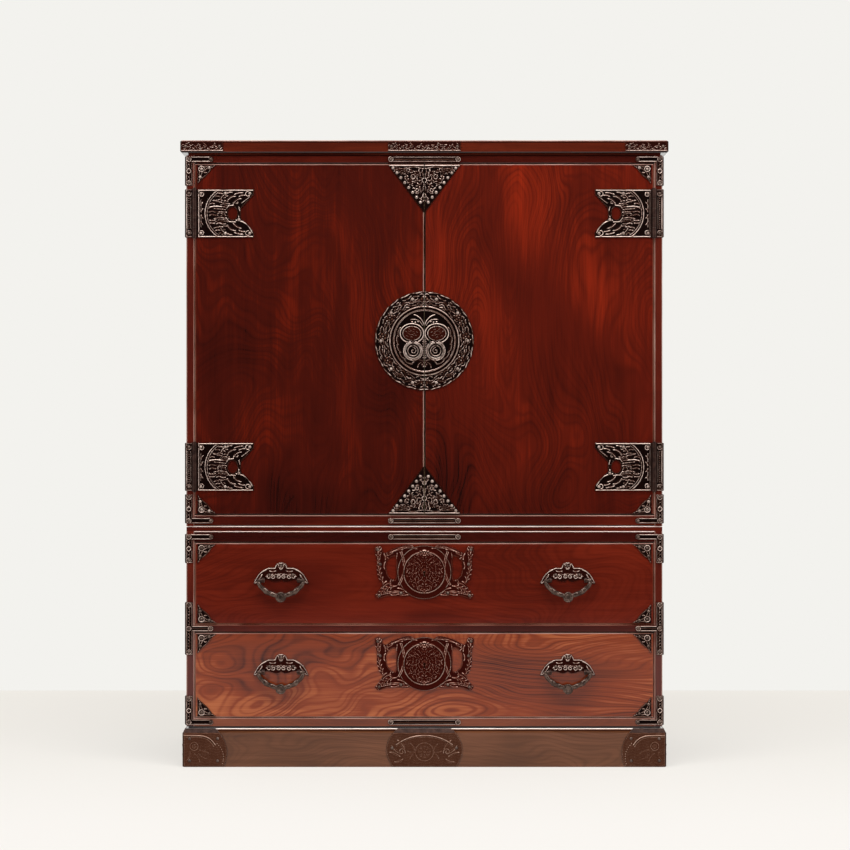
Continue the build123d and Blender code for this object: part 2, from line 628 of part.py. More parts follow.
def make_hinges():
    """Saves the hinges; returns the nails of their case leaves and of their right door leaves."""
    half = HINGE_HEIGHT / 2
    odd = range(1, KNUCKLE_COUNT, 2)
    even = range(0, KNUCKLE_COUNT, 2)
    outer, rear = HALF + PLATE, FACE + HINGE_SIDE_REACH
    case_leaves, door_leaves, pins, case_nails, door_nails = [], [], [], [], []
    for z in HINGE_LEVELS:
        stud = half - HINGE_NAIL_INSET
        levels = (z - stud, z + stud)
        nails = on_plate([(HALF - 6, level) for level in levels])
        nails += [(outer, y, level, "right") for level in levels for y in (FACE + 14, rear - 8)]
        case_nails += nails
        plate = block(AXIS_X, outer, FACE - PLATE, FACE, z - half, z + half)
        plate += block(HALF, outer, FACE - PLATE, rear, z - half, z + half)
        case_leaves.append(pierced(with_barrel(plate, z, even, odd), nails))

        near, far = KNUCKLE_RADIUS + HINGE_NAIL_INSET, HINGE_LEAF_REACH - HINGE_NAIL_INSET
        nails = on_plate([(AXIS_X - reach, level) for level in levels
                          for reach in (near, (near + far) / 2, far)])
        nails += on_plate([(AXIS_X - HINGE_LEAF_REACH + HINGE_NOTCH_DEPTH + 4, z - 14)])
        door_nails += nails
        leaf = on_front(door_leaf_outline(), AXIS_X, z)
        door_leaves.append(pierced(with_barrel(leaf, z, odd, even), nails))

        pin = rod_z(AXIS_X, AXIS_Y, z - half, z + half, PIN_RADIUS)
        pin += rod_z(AXIS_X, AXIS_Y, z + half, z + half + PIN_HEAD_HEIGHT, PIN_HEAD_RADIUS)
        pin += rod_z(AXIS_X, AXIS_Y, z - half - PIN_HEAD_HEIGHT, z - half, PIN_HEAD_RADIUS)
        pins.append(pin)
    save("hinge_case_leaves", *case_leaves, *map(mirrored, case_leaves))
    save("hinge_pins", *pins, *map(mirrored, pins))
    save("right_hinge_leaves", *door_leaves)
    save("left_hinge_leaves", *map(mirrored, door_leaves))
    return both_sides(case_nails), door_nails


# ---------------------------------------------------------------- doors
def keyhole(x, y0, y1, z):
    """A keyhole through from y0 to y1: a round over a slot."""
    length = y1 - y0
    hole = Pos(x, (y0 + y1) / 2, z) * Rot(90, 0, 0) * Cylinder(KEYHOLE_RADIUS, length)
    return hole + block(x - KEYHOLE_SLOT / 2, x + KEYHOLE_SLOT / 2, y0, y1, z - KEYHOLE_DROP, z)


def door_lock():
    """The lock's recess, case and bolt on the right door, and the bolt's pocket in the left."""
    y0, y1 = FACE + DOOR_PANEL_THICK, DOOR_BACK
    half = LOCK_CASE_HEIGHT / 2
    z0, z1 = CREST_LEVEL - half, CREST_LEVEL + half
    recess = block(DOOR_INNER, DOOR_INNER + LOCK_CASE_WIDTH, y0, y1, z0, z1)
    y, play, end = (y0 + y1) / 2, BOLT_PLAY, DOOR_INNER + LOCK_CASE_WIDTH / 2
    low, high = CREST_LEVEL - BOLT_HEIGHT / 2, CREST_LEVEL + BOLT_HEIGHT / 2
    bolt = block(DOOR_INNER, end, y - BOLT_THICK / 2, y + BOLT_THICK / 2, low, high)
    wide = (y - BOLT_THICK / 2 - play, y + BOLT_THICK / 2 + play, low - play, high + play)
    slide = block(DOOR_INNER - play, end + play, *wide)
    pocket = block(-DOOR_INNER - BOLT_THROW - play, -DOOR_INNER, *wide)
    return recess, recess - slide, bolt, pocket


def door_frame():
    """The right door's framing behind its panel: two stiles and two rails."""
    y0, y1 = FACE + DOOR_PANEL_THICK, DOOR_BACK
    w = DOOR_FRAME_WIDTH
    return [block(DOOR_INNER, DOOR_INNER + w, y0, y1, DOOR_BOTTOM, DOOR_TOP),
            block(DOOR_OUTER - w, DOOR_OUTER, y0, y1, DOOR_BOTTOM, DOOR_TOP),
            block(DOOR_INNER + w, DOOR_OUTER - w, y0, y1, DOOR_BOTTOM, DOOR_BOTTOM + w),
            block(DOOR_INNER + w, DOOR_OUTER - w, y0, y1, DOOR_TOP - w, DOOR_TOP)]


def make_doors(nails):
    """Both doors and the lock, from the nails of the right one."""
    recess, case, bolt, pocket = door_lock()
    hole = keyhole(DOOR_INNER + LOCK_CASE_WIDTH / 4, FACE, FACE + DOOR_PANEL_THICK, CREST_LEVEL)
    slab = block(DOOR_INNER, DOOR_OUTER, FACE, FACE + DOOR_PANEL_THICK, DOOR_BOTTOM, DOOR_TOP)
    panel = pierced(eased(slab, ("top", "bottom", "left", "right")), nails)
    save("left_door_panel", mirrored(panel))
    save("right_door_panel", panel - hole)
    frame = door_frame()
    left = [mirrored(member) for member in frame]
    left[0] -= pocket
    save("left_door_frame", *left)
    save("right_door_frame", frame[0] - recess, *frame[1:])
    save("door_lock_case", case)
    save("door_lock_bolt", bolt)
    heads = [nail(*n) for n in nails]
    save("right_door_nails", *heads)
    save("left_door_nails", *map(mirrored, heads))


def corner_outline():
    """A door or drawer corner plate: square at its origin, with a waved edge across its tips."""
    belly, height = CORNER_BELLY, CORNER_TIP_HEIGHT
    return outline(((0, 0), (CORNER_LEG_X, 0)),
                   ((CORNER_LEG_X, 0), (CORNER_LEG_X * 0.75, height), (belly, belly),
                    (height, CORNER_LEG_Z * 0.75), (0, CORNER_LEG_Z)),
                   ((0, CORNER_LEG_Z), (0, 0)))


def corner_plates(x, low, high):
    """The two plates at the right corners of a front between low and high, and their nails."""
    plates = [on_front(flipped(corner_outline(), x=True), x, low),
              on_front(flipped(corner_outline(), x=True, z=True), x, high)]
    inset, edge = CORNER_NAIL_INSET, CORNER_TIP_NAIL_INSET
    tips = ((CORNER_LEG_X * 0.62, edge), (edge, CORNER_LEG_Z * 0.62))
    spots = [(x - across, end) for across, along in ((inset, inset), *tips)
             for end in (low + along, high - along)]
    nails = on_plate(spots)
    return [pierced(plate, nails) for plate in plates], nails


def make_door_plates():
    """Corner plates at the hinge side and half gables at the meeting edge; returns their nails."""
    low, high = DOOR_BOTTOM + ARRIS, DOOR_TOP - ARRIS
    plates, nails = corner_plates(DOOR_OUTER - CORNER_INSET, low, high)
    edge = DOOR_INNER
    gable = Polygon((edge, 0), (GABLE_HALF_WIDTH, 0), (edge + PLATE_INSET, GABLE_HEIGHT),
                    (edge, GABLE_HEIGHT), align=None)
    inset, pitch = GABLE_NAIL_INSET, 1 / GABLE_NAILS
    run_x = GABLE_HALF_WIDTH - 1.65 * inset
    run_z = GABLE_HEIGHT - 1.65 * inset
    spots = [(run_x * (1 - i * pitch), inset + (run_z - inset) * i * pitch)
             for i in range(GABLE_NAILS)]
    own = on_plate([(x, low + z) for x, z in spots] + [(x, high - z) for x, z in spots])
    gables = [on_front(gable, 0, low), on_front(flipped(gable, z=True), 0, high)]
    plates += [pierced(plate, own) for plate in gables]
    save("right_door_plates", *plates)
    save("left_door_plates", *map(mirrored, plates))
    return nails + own


def ring_pull():
    """A drop ring and the lug that carries it, for the right door."""
    y = FACE - RING_PROUD
    top = CREST_LEVEL - RING_EYE_BELOW_CREST
    ring = Pos(RING_FROM_MEETING, y, top - RING_RADIUS) * Rot(90, 0, 0) * Torus(RING_RADIUS, RING_WIRE)
    bore = RING_WIRE + RING_PLAY
    wall = bore + RING_LUG_WALL
    half = RING_LUG_WIDTH / 2
    x0, x1 = RING_FROM_MEETING - half, RING_FROM_MEETING + half
    lug = block(x0, x1, y, FACE - PLATE, top - wall, top + wall) + rod_x(x0, x1, y, top, wall)
    return ring, lug - rod_x(x0, x1, y, top, bore)


def make_crests():
    """The round plate split between the doors, and its two ring pulls; returns its nails."""
    ring, lug = ring_pull()
    half_plane = Pos(DOOR_INNER + CREST_RADIUS / 2, 0) * Rectangle(CREST_RADIUS, 2 * CREST_RADIUS)
    disc = on_front(Circle(CREST_RADIUS) & half_plane, 0, CREST_LEVEL)
    band = (Circle(CREST_RING_OUTER) - Circle(CREST_RING_INNER)) & half_plane
    spokes = [Vector(CREST_NAIL_RADIUS, 0, 0).rotate(Axis.Z, a) for a in CREST_NAIL_ANGLES]
    nails = on_plate([(spoke.X, CREST_LEVEL + spoke.Y) for spoke in spokes])
    crest = disc + on_front(band, 0, CREST_LEVEL, CREST_RING_HEIGHT, FACE - PLATE) + lug
    crest = pierced(crest, nails)
    hole = keyhole(DOOR_INNER + LOCK_CASE_WIDTH / 4, FACE - PLATE, FACE, CREST_LEVEL)
    save("right_crest_plate", crest - hole)
    save("left_crest_plate", mirrored(crest))
    save("right_ring_pull", ring)
    save("left_ring_pull", mirrored(ring))
    return nails


# ---------------------------------------------------------------- drawers
def drawer_box(x0, x1, face, z0, z1, front_thick, wall, back_end):
    """Sides, back and bottom of a drawer whose box lies between x0 and x1 behind its front."""
    y0 = face + front_thick - DRAWER_LAP
    floor = z0 + DRAWER_BOTTOM_RISE
    groove = DRAWER_GROOVE
    bottom = block(x0 + wall - groove, x1 - wall + groove, face + front_thick - groove, back_end,
                   floor, floor + DRAWER_BOTTOM_THICK)
    left = block(x0, x0 + wall, y0, back_end, z0, z1) - bottom
    right = block(x1 - wall, x1, y0, back_end, z0, z1) - bottom
    back = block(x0 + wall, x1 - wall, back_end - wall, back_end, floor + DRAWER_BOTTOM_THICK, z1)
    return left, right, back, bottom


def drawer_lock_outline():
    """A drawer's lock plate: a disc between two pierced sprays of leaf."""
    spray = outline(
        ((20, 50), (30, 61), (49, 58.5), (67, 53), (82, 43.5)),
        ((82, 43.5), (90, 44), (94, 52), (99, 58.5)),
        ((99, 58.5), (108.5, 56), (106, 32), (105, 9), (101, -13), (91, -26)),
        ((91, -26), (99, -39), (109, -51)),
        ((109, -51), (101, -58), (90, -55), (78, -51.5), (56, -52), (34, -52)),
        ((34, -52), (20, -40)),
        ((20, -40), (20, 50)))
    window = outline(
        ((63, 35), (74, 33), (82, 25), (84, 9), (81, -6), (73, -15), (65, -18)),
        ((65, -18), (62, -2), (62.5, 10), (61.5, 24), (63, 35)))
    spray -= window
    return Circle(LOCK_DISC_RADIUS) + spray + flipped(spray, x=True)


def drawer_bolt(z_open):
    """A drawer's lock bolt, its slot above the opening at z_open, and its hollow in the lock."""
    y0 = FACE + DRAWER_FRONT_THICK + (LOCK_BOX_THICK - BOLT_THICK) / 2
    half, play = DRAWER_BOLT_WIDTH / 2, BOLT_PLAY
    top = z_open - DRAWER_GAP
    bolt = block(-half, half, y0, y0 + BOLT_THICK, top - BOLT_HEIGHT, top)
    wide = (-half - play, half + play, y0 - play, y0 + BOLT_THICK + play)
    slot = block(*wide, z_open, z_open + BOLT_THROW + play)
    return bolt, slot, block(*wide, top - BOLT_HEIGHT - play, top)


def make_drawer_lock(name, z_high, lock_z):
    """Saves the lock plate and case of the drawer under z_high; returns the plate's nails."""
    bolt, _, hollow = drawer_bolt(z_high)
    spots = [(103, 50), (100, -51), (98, 18), (52, -46)]
    nails = both_sides(on_plate([(x, lock_z + z) for x, z in spots]))
    plate = on_front(drawer_lock_outline(), 0, lock_z)
    plate += on_front(Circle(LOCK_MEDAL_RADIUS), 0, lock_z, LOCK_MEDAL_HEIGHT, FACE - PLATE)
    plate -= keyhole(0, FACE - PLATE - LOCK_MEDAL_HEIGHT, FACE, lock_z)
    half, y, top = LOCK_BOX_WIDTH / 2, FACE + DRAWER_FRONT_THICK, z_high - DRAWER_GAP
    case = block(-half, half, y, y + LOCK_BOX_THICK, top - LOCK_BOX_HEIGHT, top) - hollow
    save(f"{name}_drawer_lock", pierced(plate, nails), case)
    save(f"{name}_lock_bolt", bolt)
    return nails


def make_drawer(name, z_low, z_high):
    """One wide drawer for the opening from z_low to z_high."""
    z0, z1 = z_low + DRAWER_GAP, z_high - DRAWER_GAP
    side, edge = INNER - DRAWER_SIDE_PLAY, INNER - DOOR_GAP
    box = drawer_box(-side, side, FACE, z_low + RUN_CLEARANCE, z1 - DRAWER_SIDE_DROP,
                     DRAWER_FRONT_THICK, DRAWER_SIDE_THICK, PANEL_FRONT - DRAWER_BACK_GAP)
    save(f"{name}_drawer_box", *box)

    lock_z = (z_low + z_high) / 2 + LOCK_ABOVE_MIDDLE
    plates, nails = corner_plates(edge - CORNER_INSET, z0 + ARRIS, z1 - ARRIS)
    save(f"{name}_drawer_plates", *plates, *map(mirrored, plates))
    nails = both_sides(nails) + make_drawer_lock(name, z_high, lock_z)
    nails += make_handles(name, (z_low + z_high) / 2 + HANDLE_ABOVE_MIDDLE)
    save(f"{name}_drawer_nails", *(nail(*n) for n in nails))

    front = block(-edge, edge, FACE, FACE + DRAWER_FRONT_THICK, z0, z1)
    front = eased(front, ("top", "bottom", "left", "right")) - [box[0], box[1], box[3]]
    front -= keyhole(0, FACE, FACE + DRAWER_FRONT_THICK, lock_z)
    save(f"{name}_drawer_front", pierced(front, nails))


# ---------------------------------------------------------------- drawer handles
def handle_plate_outline():
    """The fixed plate above a bail: a low crown with pointed ears and a finial."""
    tip, crown, finial = HANDLE_TIP, HANDLE_CROWN, HANDLE_FINIAL
    half = outline(((0, finial), (8, finial - 2), (14, crown)),
                   ((14, crown), (tip * 0.55, crown - 2), (tip * 0.8, crown * 0.5)),
                   ((tip * 0.8, crown * 0.5), (tip * 0.92, 3), (tip, -9)),
                   ((tip, -9), (tip * 0.85, -7), (tip * 0.68, -4)),
                   ((tip * 0.68, -4), (tip * 0.45, 1), (tip * 0.25, -3), (0, 1)),
                   ((0, 1), (0, finial)))
    return half + flipped(half, x=True)


def bail(x, y, z):
    """A drop handle: an oval bar with a flat bead at its foot and a pivot stub at each end."""
    across = BAIL_SPAN - BAIL_TURN
    lean = 2 * math.atan((BAIL_DROP - BAIL_TURN) / across)
    radius = BAIL_TURN + across / math.sin(lean)
    hub = Vector(x, y, z - BAIL_DROP + radius)
    arm = Vector(-math.sin(lean), 0, -math.cos(lean)) * radius
    foot = Plane(origin=hub + arm, x_dir=(0, 1, 0), z_dir=arm.cross(Vector(0, 1, 0)))
    bar = revolve(foot * Circle(BAIL_RADIUS), Axis(hub, (0, -1, 0)), math.degrees(2 * lean))
    bead = Rot(90, 0, 0) * Cylinder(GRIP_RADIUS, 2 * GRIP_HALF_THICK)
    bar += Pos(x, y, z - GRIP_DROP) * fillet(bead.edges().filter_by(GeomType.CIRCLE), GRIP_ROUND)
    for side in (-1, 1):
        head = Plane(origin=(x + side * BAIL_SPAN, y, z), x_dir=(0, 1, 0), z_dir=(0, 0, 1))
        bend = Axis((x + side * across, y, z), (0, side, 0))
        bar += revolve(head * Circle(BAIL_RADIUS), bend, 90 - math.degrees(lean))
        reach = BAIL_SPAN - BAIL_RADIUS - POST_GAP - POST_WIDTH - STUB_OVERHANG
        bar += rod_x(*sorted((x + side * reach, x + side * BAIL_SPAN)), y, z, STUB_RADIUS)
        bar += Pos(x + side * BAIL_SPAN, y, z) * Sphere(BAIL_RADIUS)
    return bar


def handle_plate(x, y, z, nails):
    """A handle's plate with the two posts that carry the bail's stubs."""
    plate = pierced(on_front(handle_plate_outline(), x, z), nails)
    for side in (-1, 1):
        outer = BAIL_SPAN - BAIL_RADIUS - POST_GAP
        ends = sorted((x + side * outer, x + side * (outer - POST_WIDTH)))
        plate += block(*ends, y, FACE - PLATE, z - POST_RADIUS, z + POST_RADIUS)
        plate += rod_x(*ends, y, z, POST_RADIUS)
        plate -= rod_x(*ends, y, z, STUB_RADIUS + STUB_CLEARANCE)
    return plate


def make_handles(name, z):
    """Saves a drawer's two handles; returns their nails."""
    x, y = HANDLE_FROM_CENTRE, FACE - PIVOT_PROUD
    nails = on_plate([(x - 26, z + 11), (x + 26, z + 11), (x, z + 31)])
    plate = handle_plate(x, y, z, nails)
    save(f"{name}_handle_plates", plate, mirrored(plate))
    save(f"{name}_left_bail", bail(-x, y, z))
    save(f"{name}_right_bail", bail(x, y, z))
    return both_sides(nails)


# ---------------------------------------------------------------- trays and small drawers
def tray_level(i):
    """The height of tray i's runner tops, counted upwards."""
    return SHELF_TOP + i * TRAY_PITCH + TRAY_RUNNER_HEIGHT


def make_trays():
    side = INNER - TRAY_PLAY
    end = PANEL_FRONT - DRAWER_BACK_GAP
    for i in range(TRAY_COUNT):
        z0 = tray_level(i) + RUN_CLEARANCE
        box = drawer_box(-side, side, TRAY_FACE, z0, z0 + TRAY_SIDE_HEIGHT, TRAY_WALL, TRAY_WALL, end)
        front = block(TRAY_WALL - side, side - TRAY_WALL, TRAY_FACE, TRAY_FACE + TRAY_WALL,
                      z0, z0 + TRAY_FRONT_HEIGHT)
        save(f"tray_{i + 1}", front - box[3], *box)


def make_small_drawers():
    """Two small drawers under the shelf, one each side of the divider, with sunk knobs."""
    z0, z1 = UPPER_FLOOR + RUN_CLEARANCE, SHELF_BOTTOM - DRAWER_GAP
    x0, x1 = DIVIDER_THICK / 2 + DRAWER_SIDE_PLAY, INNER - DRAWER_SIDE_PLAY
    box = drawer_box(x0, x1, TRAY_FACE, z0, z1 - DRAWER_SIDE_DROP, DRAWER_FRONT_THICK,
                     DRAWER_SIDE_THICK, PANEL_FRONT - DRAWER_BACK_GAP)
    front = block(x0, x1, TRAY_FACE, TRAY_FACE + DRAWER_FRONT_THICK, z0, z1)
    front = eased(front, ("top", "bottom", "left", "right")) - [box[0], box[1], box[3]]
    seat = Pos((x0 + x1) / 2, TRAY_FACE + KNOB_LENGTH / 2, (z0 + z1) / 2) * Rot(90, 0, 0)
    knob = seat * Cylinder(KNOB_STEM_RADIUS, KNOB_LENGTH)
    knob += seat * Pos(0, 0, KNOB_LENGTH / 4) * Cylinder(KNOB_RADIUS, KNOB_LENGTH / 2)
    pieces = [front - seat * Cylinder(2 * KNOB_RADIUS, KNOB_LENGTH), *box, knob]
    save("right_small_drawer", *pieces)
    save("left_small_drawer", *map(mirrored, pieces))


def main():
    low_plates, low_nails = lower_case_plates()
    foot_plates, foot_nails = base_plates()
    top_plates, top_nails = upper_case_plates()
    cap_plates, cap_nails = crown_plates()
    leaf_nails, door_nails = make_hinges()
    nails = low_nails + foot_nails + top_nails + cap_nails + leaf_nails
    save("lower_fittings", *(pierced(plate, nails) for plate in low_plates + foot_plates))
    save("upper_fittings", *(pierced(plate, nails) for plate in top_plates + cap_plates))
    save("case_nails", *(nail(*n) for n in nails))
    make_base(nails)
    make_lower_case(nails)
    make_spacer()
    make_upper_case(nails)
    make_shelf()
    door_nails += make_door_plates() + make_crests()
    make_doors(door_nails)
    make_drawer("lower", LOWER_FLOOR, RAIL_BOTTOM)
    make_drawer("upper", RAIL_TOP, LOWER_CEILING)
    make_trays()
    make_small_drawers()


main()
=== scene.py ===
"""The look of a two-part clothing chest: red-brown lacquer over keyaki, with chased iron fittings."""
import json
import math

import bpy
import numpy as np
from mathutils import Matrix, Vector

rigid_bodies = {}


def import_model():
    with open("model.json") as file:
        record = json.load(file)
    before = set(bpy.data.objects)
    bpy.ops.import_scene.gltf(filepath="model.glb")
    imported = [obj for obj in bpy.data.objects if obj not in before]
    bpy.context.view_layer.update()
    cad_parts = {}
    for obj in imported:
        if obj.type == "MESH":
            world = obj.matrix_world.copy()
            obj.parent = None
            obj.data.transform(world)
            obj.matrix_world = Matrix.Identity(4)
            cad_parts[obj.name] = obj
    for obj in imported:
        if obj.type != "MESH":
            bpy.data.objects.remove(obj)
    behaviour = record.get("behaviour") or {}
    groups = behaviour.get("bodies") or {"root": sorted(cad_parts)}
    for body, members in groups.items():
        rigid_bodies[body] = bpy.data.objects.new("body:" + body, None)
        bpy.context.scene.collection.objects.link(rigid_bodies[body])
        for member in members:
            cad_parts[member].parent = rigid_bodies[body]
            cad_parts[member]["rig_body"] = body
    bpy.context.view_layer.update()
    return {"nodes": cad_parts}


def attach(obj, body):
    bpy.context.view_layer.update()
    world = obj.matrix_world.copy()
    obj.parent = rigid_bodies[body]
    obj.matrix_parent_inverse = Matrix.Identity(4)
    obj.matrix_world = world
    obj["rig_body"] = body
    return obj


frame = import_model()
NODES = frame["nodes"]

ACROSS, BACK, UP = range(3)    # the axes of the shared frame
DRAWERS = ("upper", "lower")


def span(node, axis):
    """Where a CAD node starts and ends along one axis, in mm."""
    places = [point.co[axis] * 1000 for point in NODES[node].data.vertices]
    return round(min(places), 3), round(max(places), 3)


# ---------------------------------------------------------------- places on the chest, in mm
FRONT = span("left_door_panel", BACK)[0]             # plane of the doors, drawers and stiles
BASE_FRONT = span("base_rails", BACK)[0]
CROWN_FRONT = span("crown_board", BACK)[0]
CASE_SIDE = span("upper_case_sides", ACROSS)[1]      # plane of the case's ends
BASE_SIDE = span("base_rails", ACROSS)[1]
CROWN_SIDE = span("crown_board", ACROSS)[1]
CORNER_EDGE = span("right_door_plates", ACROSS)[1]   # upright edge of the corner plates
DOOR_ENDS = span("right_door_plates", UP)            # foot and head of a door's plates
DRAWER_ENDS = {name: span(f"{name}_drawer_plates", UP) for name in DRAWERS}
DRAWER_MIDDLE = {name: sum(span(f"{name}_drawer_front", UP)) / 2 for name in DRAWERS}
CREST_LEVEL = sum(span("left_crest_plate", UP)) / 2
HINGE_LEAF_REACH = 131.0       # from the hinge's axis to its leaf's tips
HINGE_AXIS = span("right_hinge_leaves", ACROSS)[0] + HINGE_LEAF_REACH
HINGE_KNUCKLE = 6.0            # half the width that the knuckles take, with their clearance
HINGE_STRIP = 514.5            # where the case's leaf begins
HINGE_EYE = 84.0               # from the axis to the middle of the eye in the leaf
HINGE_LEVELS = (663.5, 1224.0)  # heights that the lower and the upper leaf are drawn about
PULL_CENTRE = 25.0             # from the doors' meeting edge to a ring pull
PULL_DROP = 4.5                # from the crest's middle down to a ring pull's eye
LOCK_ABOVE_MIDDLE = 25.0       # from a drawer's middle up to its lock's medallion
HANDLE_ABOVE_MIDDLE = 8.0
HANDLE_CENTRE = 317.0          # from the chest's middle to a handle's
HANDLE_POST = 39.5             # from a handle's middle to the screws of its plate
PLATE = 2.0                    # thickness of every iron plate

# ---------------------------------------------------------------- a drop handle's bail, in mm
BAIL_SPAN = 49.5               # from its middle to a pivot
BAIL_DROP = 34.0
BAIL_TURN = 20.0               # radius of the tight bends below the pivots
BAIL_BAR = 4.0                 # radius of its bar
BAIL_PROUD = 14.0              # from the drawer's front to the bar's middle
BEAD_DROP = 37.0               # the flat bead at its foot
BEAD_RADIUS = 11.5
BEAD_HALF = 6.0                # half the bead's thickness
TUBE_SIDES = 28                # flat sides round the swept bar
RIM_SIDES, RIM_STEPS = 10, 41  # and round and along a bead's raised rim

# ---------------------------------------------------------------- chased iron: how it is drawn
CELL = 0.85                    # grid of the raised work
BLUR = 3.6                     # how widely a ridge is compared with what lies round it
REACH = 9.0                    # how far in from a plate's edge its distance is followed
PROUD = 0.12                   # the sheet's lowest ground above the flat plate
SUNK = 0.5                     # the sheet's back, inside the plate
TUCK = 0.12                    # its edge, in from the plate's own
RAISED = 1.5 + PROUD           # work on a crest's raised ring or a lock's disc starts this high
NAIL_LOOP = 11.0               # rims shorter than this are nail holes
NAIL_CLEAR = (3.4, 5.4)        # the work dies away round a nail head between these radii
PULL_CLEAR, POST_CLEAR = 1.3, 1.5   # and this much wider round a pull's eye or a handle's screw
VEIN_PITCH = 3.4               # from one side vein of a leaf to the next
RUB_LEAST = 0.03               # how bright the lowest ground is rubbed
RUB_RIDGE = 1.45               # what each mm above its surroundings adds
RUB_HIGH, RUB_TOP = 0.09, 1.6  # what each mm above the plate adds, and up to what height


def bow(start, end, bend):
    """Points of a run from start to end, bowed to its left by bend times its length."""
    start, end = np.array(start, float), np.array(end, float)
    across = np.array([start[1] - end[1], end[0] - start[0]])
    middle = (start + end) / 2 + 2 * bend * across
    t = np.linspace(0, 1, 9)[:, None]
    return (1 - t) ** 2 * start + 2 * t * (1 - t) * middle + t ** 2 * end


def toward(angle, length=1.0):
    """A step of that length at an angle in radians."""
    return length * np.array([math.cos(angle), math.sin(angle)])


def arc(u, v, radius, first, last):
    """Points of an arc, its angles in degrees."""
    turn = np.radians(np.linspace(first, last, max(6, int(abs(last - first) / 8))))
    return np.stack([u + radius * np.cos(turn), v + radius * np.sin(turn)], 1)


def curl(u, v, outer, inner, first, turns):
    """Points of a scroll that winds in from the outer radius to the inner one."""
    t = np.linspace(0, 1, int(abs(turns) * 18) + 3)
    turn = math.radians(first) + 2 * math.pi * turns * t
    radius = outer + (inner - outer) * t
    return np.stack([u + radius * np.cos(turn), v + radius * np.sin(turn)], 1)


